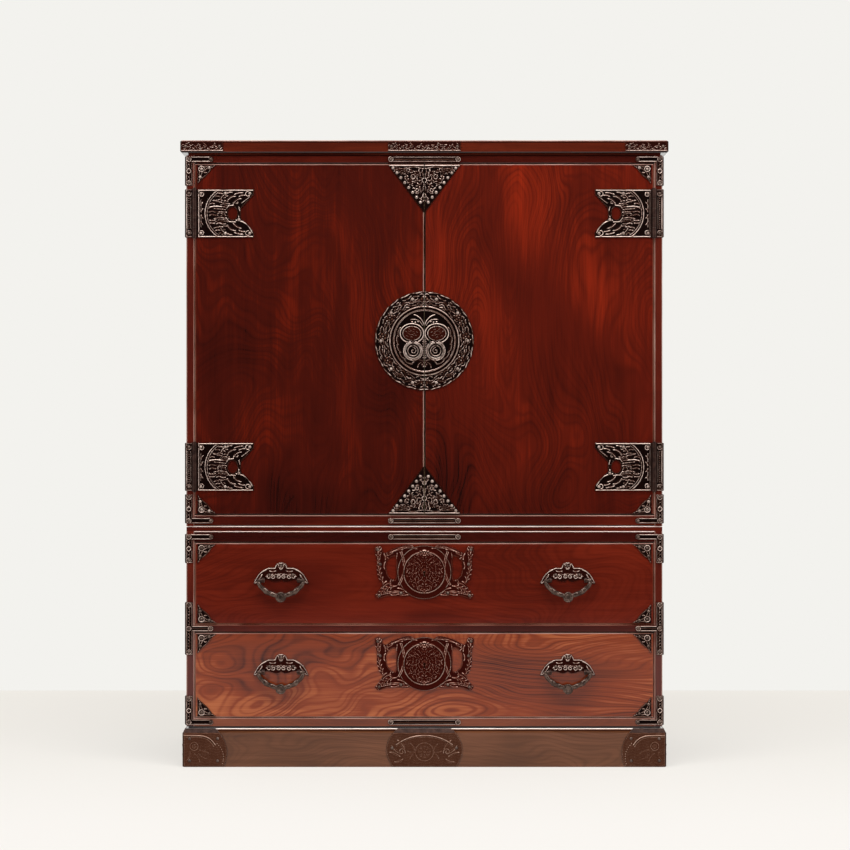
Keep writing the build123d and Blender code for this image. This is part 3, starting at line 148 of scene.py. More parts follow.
class Chasing:
    """Raised work on one plate, in mm: u across, v up, and its height off the plate."""

    def __init__(self, u, v, edge, height, warmth):
        self.u, self.v, self.edge = u, v, edge
        self.height, self.warmth = height, warmth

    def measured_by(self, u, v):
        """The same work with its places counted another way."""
        return Chasing(u, v, self.edge, self.height, self.warmth)

    def seen_from(self, u, v, across=1, up=1):
        """The same work measured from another point, turned over if asked."""
        return self.measured_by((self.u - u) * across, (self.v - v) * up)

    def folded(self):
        """The same work, drawn alike on both sides of its own upright centre line."""
        return self.measured_by(np.abs(self.u), self.v)

    def lay(self, near, ratio, height):
        """A round-backed ridge; ratio is 0 along its middle and 1 at its foot."""
        ridge = height * np.sqrt(np.clip(1 - ratio ** 2, 0, 1))
        self.height[near] = np.maximum(self.height[near], ridge)

    def radius(self):
        """How far each place is from where the work is measured."""
        return np.hypot(self.u, self.v)

    def field(self, where, height, warmth=None):
        """A flat step up, and how red its lacquer looks."""
        self.height[where] = np.maximum(self.height[where], height)
        if warmth is not None:
            self.warmth[where] = warmth

    def rim(self, inset, width, height):
        """A ridge that runs round the plate, in from its edge."""
        self.lay(..., (self.edge - inset) / width, height)

    def ring(self, radius, width, height):
        """A ring round where the work is measured."""
        self.lay(..., (self.radius() - radius) / width, height)

    def follow(self, run, reach):
        """Places near a run of points: their distance from it and how far along it they are."""
        run = np.asarray(run, float)
        low, high = run.min(0) - reach, run.max(0) + reach
        near = (self.u > low[0]) & (self.u < high[0]) & (self.v > low[1]) & (self.v < high[1])
        spot = np.stack([self.u[near], self.v[near]], 1)[:, None]
        start, step = run[:-1], run[1:] - run[:-1]
        size = np.maximum((step ** 2).sum(1), 1e-9)
        share = np.clip(((spot - start) * step).sum(2) / size, 0, 1)
        offset = spot - start - share[..., None] * step
        gap = np.hypot(offset[..., 0], offset[..., 1])
        closest = gap.argmin(1)
        rows = np.arange(len(closest))
        done = np.concatenate([[0], np.sqrt(size).cumsum()])
        travelled = done[closest] + share[rows, closest] * np.sqrt(size)[closest]
        return near, gap[rows, closest], travelled / done[-1], done[-1]

    def line(self, run, width, height, taper=0.0):
        """A ridge along a run of points, narrower at its end by the taper."""
        near, gap, share, _ = self.follow(run, width)
        self.lay(near, gap / (width * (1 - taper * share)), height)

    def loop(self, u, v, radius, width, height):
        """A small ring round a place."""
        self.line(arc(u, v, radius, 0, 360), width, height)

    def leaf(self, base, tip, bend=0.15, width=4.0, height=1.3):
        """A bowed leaf with a raised edge and midrib, and side veins between them."""
        near, gap, share, length = self.follow(bow(base, tip, bend), width)
        wide = width * np.sin(np.pi * np.clip(share, 0.03, 0.97) ** 0.75) ** 0.7
        ratio = gap / np.maximum(wide, 0.5)
        edge = 0.3 * np.exp(-((ratio - 0.8) * wide / 0.6) ** 2)
        midrib = np.exp(-(gap / 1.05) ** 2)
        veins = 0.1 * np.cos(2 * np.pi * (share * length + gap * 0.9) / VEIN_PITCH)
        relief = 0.28 + veins + 0.72 * np.maximum(edge, midrib)
        self.height[near] = np.maximum(self.height[near], np.where(ratio < 1, height * relief, 0))

    def bead(self, u, v, radius, height):
        """A round boss."""
        near = (np.abs(self.u - u) < radius) & (np.abs(self.v - v) < radius)
        self.lay(near, np.hypot(self.u[near] - u, self.v[near] - v) / radius, height)

    def beads(self, run, radius, height, pitch):
        """A row of beads along a run of points."""
        run = np.asarray(run, float)
        done = np.concatenate([[0], np.hypot(*np.diff(run, axis=0).T).cumsum()])
        spots = np.linspace(0, done[-1], max(2, int(done[-1] / pitch) + 1))
        for spot in zip(np.interp(spots, done, run[:, 0]), np.interp(spots, done, run[:, 1])):
            self.bead(*spot, radius, height)

    def flower(self, u, v, radius, petals, height=1.5):
        """A rosette: a bead in a ring of petals."""
        near = (np.abs(self.u - u) < radius) & (np.abs(self.v - v) < radius)
        across, up = self.u[near] - u, self.v[near] - v
        out = np.hypot(across, up) / radius
        lobes = 0.35 + 0.65 * np.sqrt(np.abs(np.cos(petals * np.arctan2(up, across) / 2)))
        self.lay(near, (out - 0.62) / 0.36, height * lobes)
        self.bead(u, v, radius * 0.27, height * 1.1)

    def ground(self, pitch, height):
        """A hammered ground of small bumps."""
        turn = 2 * math.pi / pitch
        bumps = np.sin(self.u * turn + 0.6 * np.sin(self.v * 0.31)) * np.sin(
            self.v * turn * 1.07 + 0.8 * np.sin(self.u * 0.27))
        self.height += height * np.clip(bumps, 0, 1)

    def sprig(self, base, tip, bend, pairs, length, width=3.2, height=1.3, spread=38):
        """A stem with leaves in pairs, the last one at its tip."""
        stem = bow(base, tip, bend)
        self.line(stem, 1.1, height * 0.8)
        for i in range(pairs):
            t = (i + 0.35) / pairs * (len(stem) - 1)
            low = int(t)
            step = stem[min(low + 1, len(stem) - 1)] - stem[low]
            spot = stem[low] + step * (t - low)
            heading = math.atan2(step[1], step[0])
            for side in (-1, 1):
                turn = heading + side * math.radians(spread)
                self.leaf(spot, spot + toward(turn, length), -side * 0.16, width, height)
        end = stem[-1] + (stem[-1] - stem[-2]) * 0.8
        self.leaf(stem[-2], end, 0, width, height)


# ---------------------------------------------------------------- what is chased on each plate
def drawer_at(level):
    """Which drawer a height belongs to."""
    return min(DRAWERS, key=lambda name: abs(DRAWER_MIDDLE[name] - level))


def crest_wreath(half):
    """Two rows of leaves either side of a waving stem, with rosettes, on a ground of fine strokes."""
    for radius, count, shift, side in ((96.5, 13, 0.0, 1), (85.5, 12, 0.5, -1)):
        for i in range(count):
            turn = math.radians(-84 + (i + shift) * 168 / count)
            base = toward(turn, radius - side * 3.4)
            tip = toward(turn + 21.0 / radius, radius + side * 3.0)
            half.leaf(base, tip, -0.13 * side, 3.8, 1.1)
    wave = np.radians(np.linspace(-86, 86, 60))
    reach = 91 + 2.2 * np.sin(wave * 13)
    half.line(np.stack([reach * np.cos(wave), reach * np.sin(wave)], 1), 1.1, 1.1)
    for angle in (-90, -28, 6, 34, 90):
        half.flower(*toward(math.radians(angle), 92), 8.5, 5, 1.8)
    scatter = np.random.default_rng(5)
    for reach in (81.5, 87.5, 94.0, 101.0):
        for angle in range(-88, 90, 8):
            place = math.radians(angle + scatter.uniform(-3, 3))
            spot = toward(place, reach + scatter.uniform(-1.5, 1.5))
            lean = place + math.pi / 2 + scatter.uniform(-0.55, 0.55)
            step = toward(lean, scatter.uniform(2.5, 5))
            half.line(bow(spot - step, spot + step, scatter.uniform(-0.25, 0.25)), 0.8,
                      scatter.uniform(1.2, 1.9))


def crest_butterfly(half):
    """A butterfly: upper wings of two ovals, lower wings of two rings, a body and feelers."""
    wing = half.seen_from(27.5, 16.5)
    for wide, tall, thick, height in ((26.0, 21.5, 1.3, 2.1), (20.0, 15.5, 0.9, 1.3)):
        oval = np.hypot(wing.u / wide, wing.v / tall)
        wing.lay(..., (oval - 1) * tall / thick, height)
    # inside the inner oval, a finely curled red-brown ground
    stipple = 0.42 * np.sin(wing.u * 1.5 + 2 * np.sin(wing.v * 0.5)) * np.sin(wing.v * 1.9)
    inner = oval < 0.93
    wing.field(inner, np.clip(0.55 + stipple, 0, 2)[inner], 0.9)
    for angle in range(0, 360, 24):
        out = 1.0 if angle % 48 else 0.5
        spot = toward(math.radians(angle)) * (13.0, 9.0) * out
        wing.line(bow(spot, spot + (4.0, 1.2), 0.2), 0.7, 1.3)
    # the lower wings lie behind the ring pulls, on bare dark iron
    tail = half.seen_from(PULL_CENTRE, -22.0)
    bare = tail.radius() < 22.5
    tail.warmth[bare] = 0
    tail.height[bare] = 0
    tail.ring(21.0, 1.1, 1.7)
    tail.ring(11.5, 1.0, 1.5)
    tail.line(curl(0, 0, 7.5, 1.5, 90, 1.1), 0.9, 1.4)
    half.line([(0, 13), (0, -4)], 3.4, 2.0)
    half.line([(0, -6), (0, -44)], 3.6, 1.8, 0.55)
    for level in range(-38, 10, 5):
        half.line([(0, level), (4.0, level + 1.5)], 0.8, 2.1)
    half.bead(0, 17.5, 3.8, 2.1)
    half.line(bow((1.0, 36), (23, 58), 0.14), 1.2, 1.9)
    half.line(bow((4, 34), (30, 47), 0.2), 0.9, 1.3)
    for spot in ((14, 43), (20, 41), (27, 42)):
        half.bead(*spot, 2.0, 1.7)
    half.line([(0, 34), (0, 58)], 1.1, 1.6)


def crest_work(sheet):
    """The round plate between the doors: a rope rim, a wreath, and a butterfly in a double ring."""
    disc = sheet.seen_from(0, CREST_LEVEL)
    radius, turn = disc.radius(), np.arctan2(disc.v, disc.u)
    twist = 0.72 + 0.28 * np.sin(turn * 37 + radius * 1.1) * np.sin(turn * 14)
    disc.lay(..., (radius - 107.6 + 0.7 * np.sin(turn * 23)) / 1.4, 1.5 * twist)
    disc.field((radius > 66.5) & (radius < 77.5), RAISED)
    for reach in (69.0, 75.6):
        disc.ring(reach, 1.1, 2.3)
    half = disc.folded()
    crest_wreath(half)
    crest_butterfly(half)
    # leaves round the butterfly's field
    for angle in (-62, -44, -26, -8, 10):
        base, tip = toward(math.radians(angle), 58), toward(math.radians(angle + 20), 60)
        half.leaf(base, tip, -0.16, 4.2, 1.5)
    for tip, bend in (((15, -60), 0.2), ((27, -50), 0.25)):
        half.leaf((2, -46), tip, bend, 3.4, 1.4)
    half.flower(0, -52, 7.0, 5, 1.6)


def corner_work(sheet, across, low, high):
    """A small corner plate: a ringed stud in the corner, and leaves out to its tips."""
    for level, up in ((low, 1), (high, -1)):
        corner = sheet.seen_from(across, level, -1, up)
        near = (corner.u < 46) & (corner.v < 46) & (corner.u > -4) & (corner.v > -4)
        if not near.any():
            continue
        # the rim stops short of the corner itself
        corner.lay(..., np.where(corner.u + corner.v > 16, (corner.edge - 1.1) / 0.9, 2), 0.8)
        corner.loop(9, 9, 6.0, 1.1, 1.5)
        for base, tip, bend, width, height in (
                ((15.5, 5), (27, 4.5), -0.06, 3.0, 1.5), ((16, 12), (29, 8), -0.14, 2.6, 1.4),
                ((30, 5.5), (38, 1.8), 0.08, 2.0, 1.3), ((15, 16.5), (20.5, 17), 0.1, 2.4, 1.4),
                ((5, 15.5), (4.5, 28), 0.06, 3.0, 1.5), ((12, 16), (8, 30), 0.14, 2.6, 1.4),
                ((5.5, 31), (1.8, 39), -0.08, 2.0, 1.3)):
            corner.leaf(base, tip, bend, width, height)


def drawer_corner_work(sheet):
    """The corner plates of a drawer's front."""
    corner_work(sheet.folded(), CORNER_EDGE, *DRAWER_ENDS[drawer_at(sheet.v.mean())])


def gable_work(half):
    """Half of a pointed gable, v from the door's end to the point: a rosette among small leaves."""
    half.rim(1.3, 0.9, 0.4)
    sway = np.linspace(0, 74, 24)
    lip = 6.5 + 1.8 * np.cos(sway / 74 * 3 * math.pi)
    half.line(np.stack([sway, lip], 1), 0.8, 1.1)
    half.line([(0, 1.6), (77, 1.6)], 1.3, 1.9)
    half.loop(0, 34, 5.0, 1.1, 1.9)
    for reach, count, length in ((8.5, 5, 6.5), (17.0, 8, 6.0)):
        for turn in np.linspace(-80, 80, count):
            out = toward(math.radians(turn))
            half.leaf((0, 34) + out * reach, (0, 34) + out * (reach + length), 0.2, 2.0, 1.2)
    for spot, radius in (((25, 26), 4.4), ((36, 12), 3.6), ((0, 68), 3.8), ((16, 56), 3.4)):
        half.loop(*spot, radius, 1.0, 1.6)
    # small leaves strewn over the gable, clear of the rosette
    scatter = np.random.default_rng(7)
    for _ in range(110):
        spot = np.array([scatter.uniform(2, 66), 0.0])
        spot[1] = 10 + scatter.uniform(0, 1) * max(3.0, 76 - spot[0] * 1.3)
        if math.hypot(spot[0], spot[1] - 34) < 15:
            continue
        lean = scatter.uniform(-0.9, 2.4)
        step = toward(lean, scatter.uniform(2.2, 4.2))
        half.leaf(spot - step, spot + step, scatter.uniform(-0.3, 0.3), 1.9,
                  scatter.uniform(0.8, 1.8))
    half.line([(0, 76), (0, 92)], 1.1, 1.4)
    half.ground(3.0, 0.22)


def door_work(sheet):
    """The hinge-side corners and the half gables at the meeting edge."""
    door = sheet.folded()
    if abs(sheet.u.mean()) > CORNER_EDGE / 2:
        corner_work(door, CORNER_EDGE, *DOOR_ENDS)
        return
    low = sheet.v.mean() < CREST_LEVEL
    gable_work(door.seen_from(0, DOOR_ENDS[0] if low else DOOR_ENDS[1], 1, 1 if low else -1))


def hinge_work(sheet):
    """A swallow-tailed hinge leaf: feathers sweep round the eye inside curved bands."""
    level = HINGE_LEVELS[0] if sheet.v.mean() < CREST_LEVEL else HINGE_LEVELS[1]
    leaf = sheet.measured_by(HINGE_AXIS - np.abs(sheet.u), sheet.v - level)
    leaf.rim(1.2, 0.9, 0.6)
    half = leaf.measured_by(leaf.u, np.abs(leaf.v))
    half.line([(9, 51.3), (128, 51.3)], 1.4, 1.9)
    leaf.line([(9.2, -52), (9.2, 52)], 0.9, 1.5)
    for run in ([(71, 12), (75, 17), (86, 18.5)], [(70, -10), (76, -18), (90, -19)],
                [(98, 14), (100, 6)], [(98, -6), (97, -14)]):
        leaf.line(run, 1.2, 1.8)
    # the bands are arcs about the eye
    for radius, width, height in ((61.0, 1.1, 1.5), (56.5, 0.8, 1.1)):
        half.line(arc(HINGE_EYE, 0, radius, 180 - 58, 180), width, height)
    half.loop(15.5, 42.5, 4.6, 1.0, 1.5)
    half.line([(14, 4), (14, 30)], 0.8, 1.2)
    for spot in ((14, 8), (14, 22)):
        half.leaf(np.array(spot) - (0, 5), np.array(spot) + (5, 3), 0.1, 2.2, 1.4)
    half.ground(3.1, 0.3)
    # feathers: short strokes in rows, level in the middle and steep towards both ends
    scatter = np.random.default_rng(3)
    for row, (near, far) in enumerate(((53, 43), (43, 33), (33, 23), (24, 17))):
        for angle in range(-66 + 6 * row, 72 - 6 * row, 10):
            turn = math.radians(180 - angle - 5 * (row % 2) + scatter.uniform(-3, 3))
            out = toward(turn)
            base = (HINGE_EYE, 0) + out * (near + scatter.uniform(-2, 2))
            tip = base - out * (near - far) * scatter.uniform(0.8, 1.2)
            tip += (3, 0.14 * angle)
            leaf.leaf(base, tip, scatter.uniform(-0.1, 0.2), 2.7, scatter.uniform(1.1, 1.9))
    for base, tip, bend, width in (
            ((58, 32), (76, 45), 0.15, 3.2), ((72, 26), (92, 38), 0.16, 3.2),
            ((86, 22), (104, 33), 0.12, 3.2), ((88, 42), (108, 46), 0.06, 2.6),
            ((68, 44), (84, 47), 0.06, 2.4), ((98, 37), (112, 40), 0.1, 2.6)):
        half.leaf(base, tip, bend, width, 1.8)
    leaf.line([(104, 23), (112, 29), (122, 37)], 0.9, 1.2)
    leaf.line(bow((92, -15), (127, -42), 0.16), 1.5, 2.2)
    leaf.line(curl(93, 24, 4.6, 1.2, 200, -1.1), 1.0, 1.4)
    leaf.line([(33, 14), (46, 16), (60, 15)], 1.5, 2.2)
    half.loop(118, 43.5, 5.0, 1.1, 1.7)


def strip_work(sheet):
    """The case leaf of a hinge: a beaded line between two others, and a ring at each end."""
    sheet.rim(1.3, 0.9, 1.1)
    strip = sheet.seen_from(sheet.u.mean(), sheet.v.mean())
    for side in (-1, 1):
        strip.loop(0, side * 43, 4.6, 0.9, 1.3)
        strip.line([(side * 4.4, -34), (side * 4.4, 34)], 0.7, 1.1)
    strip.beads([(0, -33), (0, 33)], 1.5, 0.8, 4.4)


def case_work(sheet):
    """Angles and straps on the rails and stiles: an outline, twin lines and ringed studs."""
    sheet.rim(1.3, 0.9, 1.1)
    if sheet.v.max() - sheet.v.min() < 30:
        strap = sheet.seen_from(0, sheet.v.mean())
        strap.line([(-66, 0), (66, 0)], 0.9, 0.7)
        for side in (-1, 1):
            strap.loop(side * 74.5, 0, 4.6, 1.2, 2.1)
        return
    plate = sheet.folded()
    foot, head = plate.v.min(), plate.v.max()
    # where the upright arm's middle line stands, and how high the level one's runs
    arm, bar = CASE_SIDE - 6.5, plate.v[plate.u < 500].mean()
    plate.line([(arm - 41.5, bar), (arm - 7.5, bar)], 0.9, 0.7)
    for spot in ((arm - 47.5, bar), (arm + 0.5, bar), (arm + 0.5, foot + 6.5),
                 (arm + 0.5, head - 6.5)):
        plate.loop(*spot, 4.5, 1.2, 2.1)
    plate.line([(arm - 4.4, foot + 12), (arm - 4.4, head - 12)], 0.7, 0.7)
    for level in np.arange(foot + 13, head - 14, 7.0):
        plate.leaf((arm - 1.5, level), (arm + 1.5, level + 6.5), 0.2, 2.2, 1.1)
    plate.ground(2.9, 0.2)


def side_work(sheet):
    """Parts of the plates that turn on to the ends of the case."""
    sheet.rim(1.3, 1.0, 0.8)
    middle = (sheet.u.min() + sheet.u.max()) / 2, (sheet.v.min() + sheet.v.max()) / 2
    plate = sheet.seen_from(*middle)
    half_wide, half_tall = plate.u.max(), plate.v.max()
    tall = half_tall > half_wide
    reach, width = max(half_tall, half_wide) - 9, min(half_tall, half_wide)
    ends = [(0, -reach), (0, reach)] if tall else [(-reach, 0), (reach, 0)]
    if width < 15:
        plate.line(ends, 1.2, 0.9)
        plate.flower(0, 0, min(8.0, width - 2), 6, 1.4)
        return
    for end, bend in zip(ends, (-0.04, 0.04)):
        plate.sprig((0, 0), end, bend, 3, width * 0.55, 3.4)
    plate.flower(0, 0, 9, 8, 1.7)
    plate.ground(3.1, 0.25)


def crown_work(sheet):
    """Plates on the crown board's edge: dense fine strokes above a bright lower lip."""
    sheet.rim(1.2, 0.9, 0.5)
    low, high = sheet.v.min(), sheet.v.max()
    sheet.warmth[:] = 0.6
    sheet.line([(sheet.u.min(), low + 2.2), (sheet.u.max(), low + 2.2)], 0.9, 1.2)
    scatter = np.random.default_rng(9)
    for spot in np.arange(sheet.u.min() + 3, sheet.u.max() - 2, 1.9):
        base = np.array([spot, scatter.uniform(low + 5, high - 7)])
        lean = scatter.uniform(-0.9, 0.9) + math.pi * scatter.integers(0, 2)
        step = toward(lean, scatter.uniform(3, 6))
        sheet.line(bow(base, base + step, scatter.uniform(-0.25, 0.25)), 0.7, 1.0)
    sheet.ground(2.8, 0.3)


def base_centre_work(half):
    """Half of the base's centre plate: a low arch over sprays of leaf and a rosette."""
    sway = np.linspace(0, 62, 24)
    for drop, height in ((0, 1.8), (3.4, 0.8)):
        half.line(np.stack([sway, 70 - drop - 20 * (sway / 62) ** 2.2], 1), 1.1, height)
    for base, tip, bend, width, height in (
            ((50, 30), (72, 48), -0.14, 4.6, 1.5), ((54, 24), (77, 33), 0.1, 4.2, 1.4),
            ((48, 18), (66, 12), -0.1, 3.8, 1.3), ((44, 40), (60, 60), 0.1, 3.8, 1.3)):
        half.leaf(base, tip, bend, width, height)
    half.line(curl(50, 34, 8, 2, 200, -1.2), 1.0, 1.2)
    half.flower(0, 34, 15, 8, 0.9)
    half.seen_from(0, 34).ring(20, 0.9, 0.7)
    for tip, bend in (((30, 52), 0.1), ((38, 36), -0.1), ((32, 18), 0.1)):
        half.leaf((20, 34), tip, bend, 3.6, 0.8)


def base_corner_work(corner):
    """A corner plate of the base, u in from the corner: an arch that falls to a row of beads."""
    swing = np.linspace(0, 0.72, 24)
    for inset, height in ((0, 1.8), (3.6, 0.8)):
        across, up = (84 - inset) * swing ** 0.55, 70 - inset - 56 * swing ** 3
        corner.line(np.stack([across, up], 1), 1.1, height)
    corner.beads(bow((86, 8), (74, 52), -0.16), 1.4, 1.0, 5.2)
    corner.seen_from(23, 46).ring(9.0, 0.9, 0.8)
    corner.flower(23, 46, 5.5, 5, 0.8)
    for base, tip, bend, width, height in (
            ((36, 38), (56, 30), 0.1, 3.4, 0.7), ((34, 30), (52, 18), -0.1, 3.0, 0.6),
            ((14, 34), (8, 16), 0.15, 3.4, 0.6), ((24, 30), (36, 12), 0.12, 3.0, 0.6)):
        corner.leaf(base, tip, bend, width, height)


def base_work(sheet):
    """The base's corner and centre plates, on a stippled ground."""
    sheet.rim(1.3, 1.0, 0.4)
    if abs(sheet.u.mean()) < BASE_SIDE / 2:
        base_centre_work(sheet.folded())
    else:
        base_corner_work(sheet.measured_by(BASE_SIDE - np.abs(sheet.u), sheet.v))
    sheet.ground(2.4, 0.75)


def lock_medallion(half):
    """The round middle of a lock plate: a ring, and blossom among short curled strokes."""
    scatter = np.random.default_rng(11)
    for reach, count in ((6, 5), (13, 9), (20, 13), (26.5, 17), (33, 21), (39, 24)):
        for angle in np.linspace(-88, 88, count):
            spot = toward(math.radians(angle + scatter.uniform(-5, 5)), reach) + (0, 1)
            heading = scatter.uniform(0, 2 * math.pi)
            step = toward(heading, scatter.uniform(2.0, 3.6))
            half.line(bow(spot - step, spot + step, scatter.uniform(-0.35, 0.35)), 0.75,
                      RAISED + scatter.uniform(0.6, 1.2))
    half.flower(0, 2, 8.0, 10, RAISED + 0.9)
    half.flower(0, 43.0, 8.0, 5, RAISED + 2.0)
    for tip in ((10, 47), (15, 42), (18, 37), (9, 38)):
        half.leaf((2, 41), tip, 0.12, 3.0, RAISED + 1.8)
    half.leaf((0, -44), (10, -39), 0.15, 2.8, RAISED + 1.4)
    half.flower(0, -41, 5, 5, RAISED + 1.3)


def lock_spray(half):
    """The open side of a lock plate: double scrolls, an upright spray and a low one to the foot."""
    for shift in (0.0, 3.2, 6.6):
        half.line(bow((16, 59 - shift), (82, 37 + shift * 0.5), 0.1), 0.85, 1.6, 0.3)
    for shift in (0.0, 3.4):
        half.line(bow((50 + shift, 45), (55 + shift, -28), -0.13), 0.9, 1.6)
    half.line(bow((83, 34), (70, -19), -0.22), 0.9, 1.6)
    half.line(bow((86.5, 36), (76, -22), -0.2), 0.8, 1.3)
    half.sprig((90, -26), (102, 46), -0.07, 7, 12.5, 2.6, 1.9, 26)
    half.sprig((62, -30), (101, -50), 0.1, 5, 12, 2.7, 1.8, 28)
    for shift in (3.2, 6.4):
        half.line(bow((88 + shift, -18), (94 + shift * 0.6, 44), -0.08), 0.8, 1.3)
        half.line(bow((44, -40 - shift), (97, -44 - shift), 0.06), 0.8, 1.3)
    half.line(bow((60, 43), (68, -18), 0.0), 0.8, 1.2)
    half.leaf((74, -24), (92, -34), 0.14, 2.6, 1.6)
    for base, tip, bend in (((40, -44), (60, -35), 0.12), ((36, -49), (56, -49), -0.08),
                            ((56, -47), (74, -50), -0.1), ((80, 37), (96, 54), 0.1),
                            ((70, 45), (84, 38), -0.15), ((48, 50), (66, 47), 0.1),
                            ((26, 56), (44, 53), 0.1), ((86, 28), (90, 42), 0.1),
                            ((88, 8), (86, 24), -0.12), ((84, -20), (96, -36), 0.12)):
        half.leaf(base, tip, bend, 2.9, 1.8)
    half.line(curl(97, 53, 5.0, 1.2, 180, -1.2), 1.0, 1.8)
    half.bead(103.5, 53, 4.6, 1.9)
    half.bead(101.5, -51.5, 5.0, 1.9)


def lock_work(sheet):
    """A drawer's lock plate: a flower-filled medallion, and leaf sprays over open windows."""
    middle = DRAWER_MIDDLE[drawer_at(sheet.v.mean())]
    half = sheet.seen_from(0, middle + LOCK_ABOVE_MIDDLE).folded()
    radius = half.radius()
    spray = radius > 60
    half.lay(..., np.where(spray, (half.edge - 1.1) / 0.8, 2), 0.7)
    half.field((radius > 47) & (radius < 57.5), 0.2, 1.0)
    half.warmth[spray] = 0.75
    half.ring(58.5, 0.8, 1.2)
    half.field(radius < 47.2, RAISED)
    half.ring(45.4, 1.0, 2.6)
    half.warmth[radius < 44] = 0.8
    lock_medallion(half)
    lock_spray(half)


def handle_work(sheet):
    """The fixed plate over a bail: an arched bar, curls under it, and leaves at the ears."""
    middle = DRAWER_MIDDLE[drawer_at(sheet.v.mean())]
    side = math.copysign(1, sheet.u.mean())
    half = sheet.seen_from(side * HANDLE_CENTRE, middle + HANDLE_ABOVE_MIDDLE).folded()
    half.warmth[:] = 0.7
    half.lay(..., np.where(half.v > 12, (half.edge - 1.4) / 1.1, 2), 1.5)
    half.line([(59, -6), (54, 4), (49, 12), (42, 18), (33, 22.5)], 1.1, 1.6)
    for u, turns in ((6, 1), (17, -1), (28, 1)):
        half.line(curl(u, 7.5, 5.4, 1.4, 60, turns * 1.2), 1.0, 2.2)
    half.line([(0, 14.2), (10, 12), (20, 13), (34, 8)], 0.8, 1.2)
    half.leaf((42, 12), (58, -7), -0.08, 3.0, 2.4)
    half.leaf((44, 6), (53, -5), 0.1, 2.4, 2.0)
    half.leaf((2, 24), (9, 36), 0.15, 3.0, 2.6)
    half.leaf((0, 24), (0, 38), 0, 3.0, 2.7)
    half.leaf((12, 20), (26, 20), -0.1, 2.4, 1.4)


# ---------------------------------------------------------------- from a plate to its sheet
# for each side of the chest: the axes of u and of depth, and which way along depth is outward
FACING = {"front": (ACROSS, BACK, -1), "right": (BACK, ACROSS, 1), "left": (BACK, ACROSS, -1)}


def flat_rims(node, facing, level):
    """Closed rims, in mm, of a node's faces that lie on the wood's plane."""
    across, depth, _ = FACING[facing]
    mesh = NODES[node].data
    points = np.empty(len(mesh.vertices) * 3)
    mesh.vertices.foreach_get("co", points)
    points = points.reshape(-1, 3) * 1000
    keys, weld = np.unique(np.round(points, 2), axis=0, return_inverse=True)
    weld = weld.ravel()
    on_plane = np.abs(keys[:, depth] - level) < 0.02
    # the steps round each face, less those that two faces share, leave the rims
    ahead = {}
    for face in mesh.polygons:
        ring = [int(weld[i]) for i in face.vertices]
        if not all(on_plane[i] for i in ring):
            continue
        for a, b in zip(ring, ring[1:] + ring[:1]):
            if a in ahead.get(b, ()):
                ahead[b].remove(a)
            elif a != b:
                ahead.setdefault(a, []).append(b)
    rims = []
    while any(ahead.values()):
        start = next(a for a, ends in ahead.items() if ends)
        rim = [start]
        while ahead.get(rim[-1]):
            step = ahead[rim[-1]].pop()
            if step == start:
                break
            rim.append(step)
        if len(rim) > 2:
            rims.append(keys[rim][:, [across, UP]])
    return rims


def area(rim):
    """What a rim encloses, below zero where it runs clockwise."""
    ahead = np.roll(rim, -1, 0)
    return (rim[:, 0] * ahead[:, 1] - ahead[:, 0] * rim[:, 1]).sum() / 2


def measured(u, v, rims):
    """For each place: whether it is inside the rims, its distance to them and the nearest point."""
    inside = np.zeros(u.shape, bool)
    gap = np.full(u.shape, REACH)
    foot = np.stack([u, v])
    for rim in rims:
        for p, q in zip(rim, np.roll(rim, -1, 0)):
            if p[1] != q[1]:
                rows = (v > min(p[1], q[1])) & (v <= max(p[1], q[1]))
                cut = p[0] + (v[rows] - p[1]) * (q[0] - p[0]) / (q[1] - p[1])
                inside[rows] ^= cut > u[rows]
            middle, half = (p + q) / 2, np.abs(p - q) / 2 + REACH
            near = (np.abs(u - middle[0]) < half[0]) & (np.abs(v - middle[1]) < half[1])
            step = q - p
            share = (u[near] - p[0]) * step[0] + (v[near] - p[1]) * step[1]
            share = np.clip(share / max(step @ step, 1e-9), 0, 1)
            close = np.stack([p[0] + share * step[0], p[1] + share * step[1]])
            away = np.hypot(u[near] - close[0], v[near] - close[1])
            better = away < gap[near]
            spots = tuple(axis[better] for axis in np.nonzero(near))
            gap[spots] = away[better]
            foot[(slice(None),) + spots] = close[:, better]
    return inside, gap, foot


def rubbed(height):
    """How bright each place is rubbed: ridges above what lies round them most."""
    around = height
    for _ in range(round(BLUR / CELL ** 2)):
        for axis in (0, 1):
            around = (around + np.roll(around, 1, axis) + np.roll(around, -1, axis)) / 3
    return np.clip(RUB_LEAST + RUB_RIDGE * (height - around)
                   + RUB_HIGH * np.minimum(height, RUB_TOP), 0, 1)


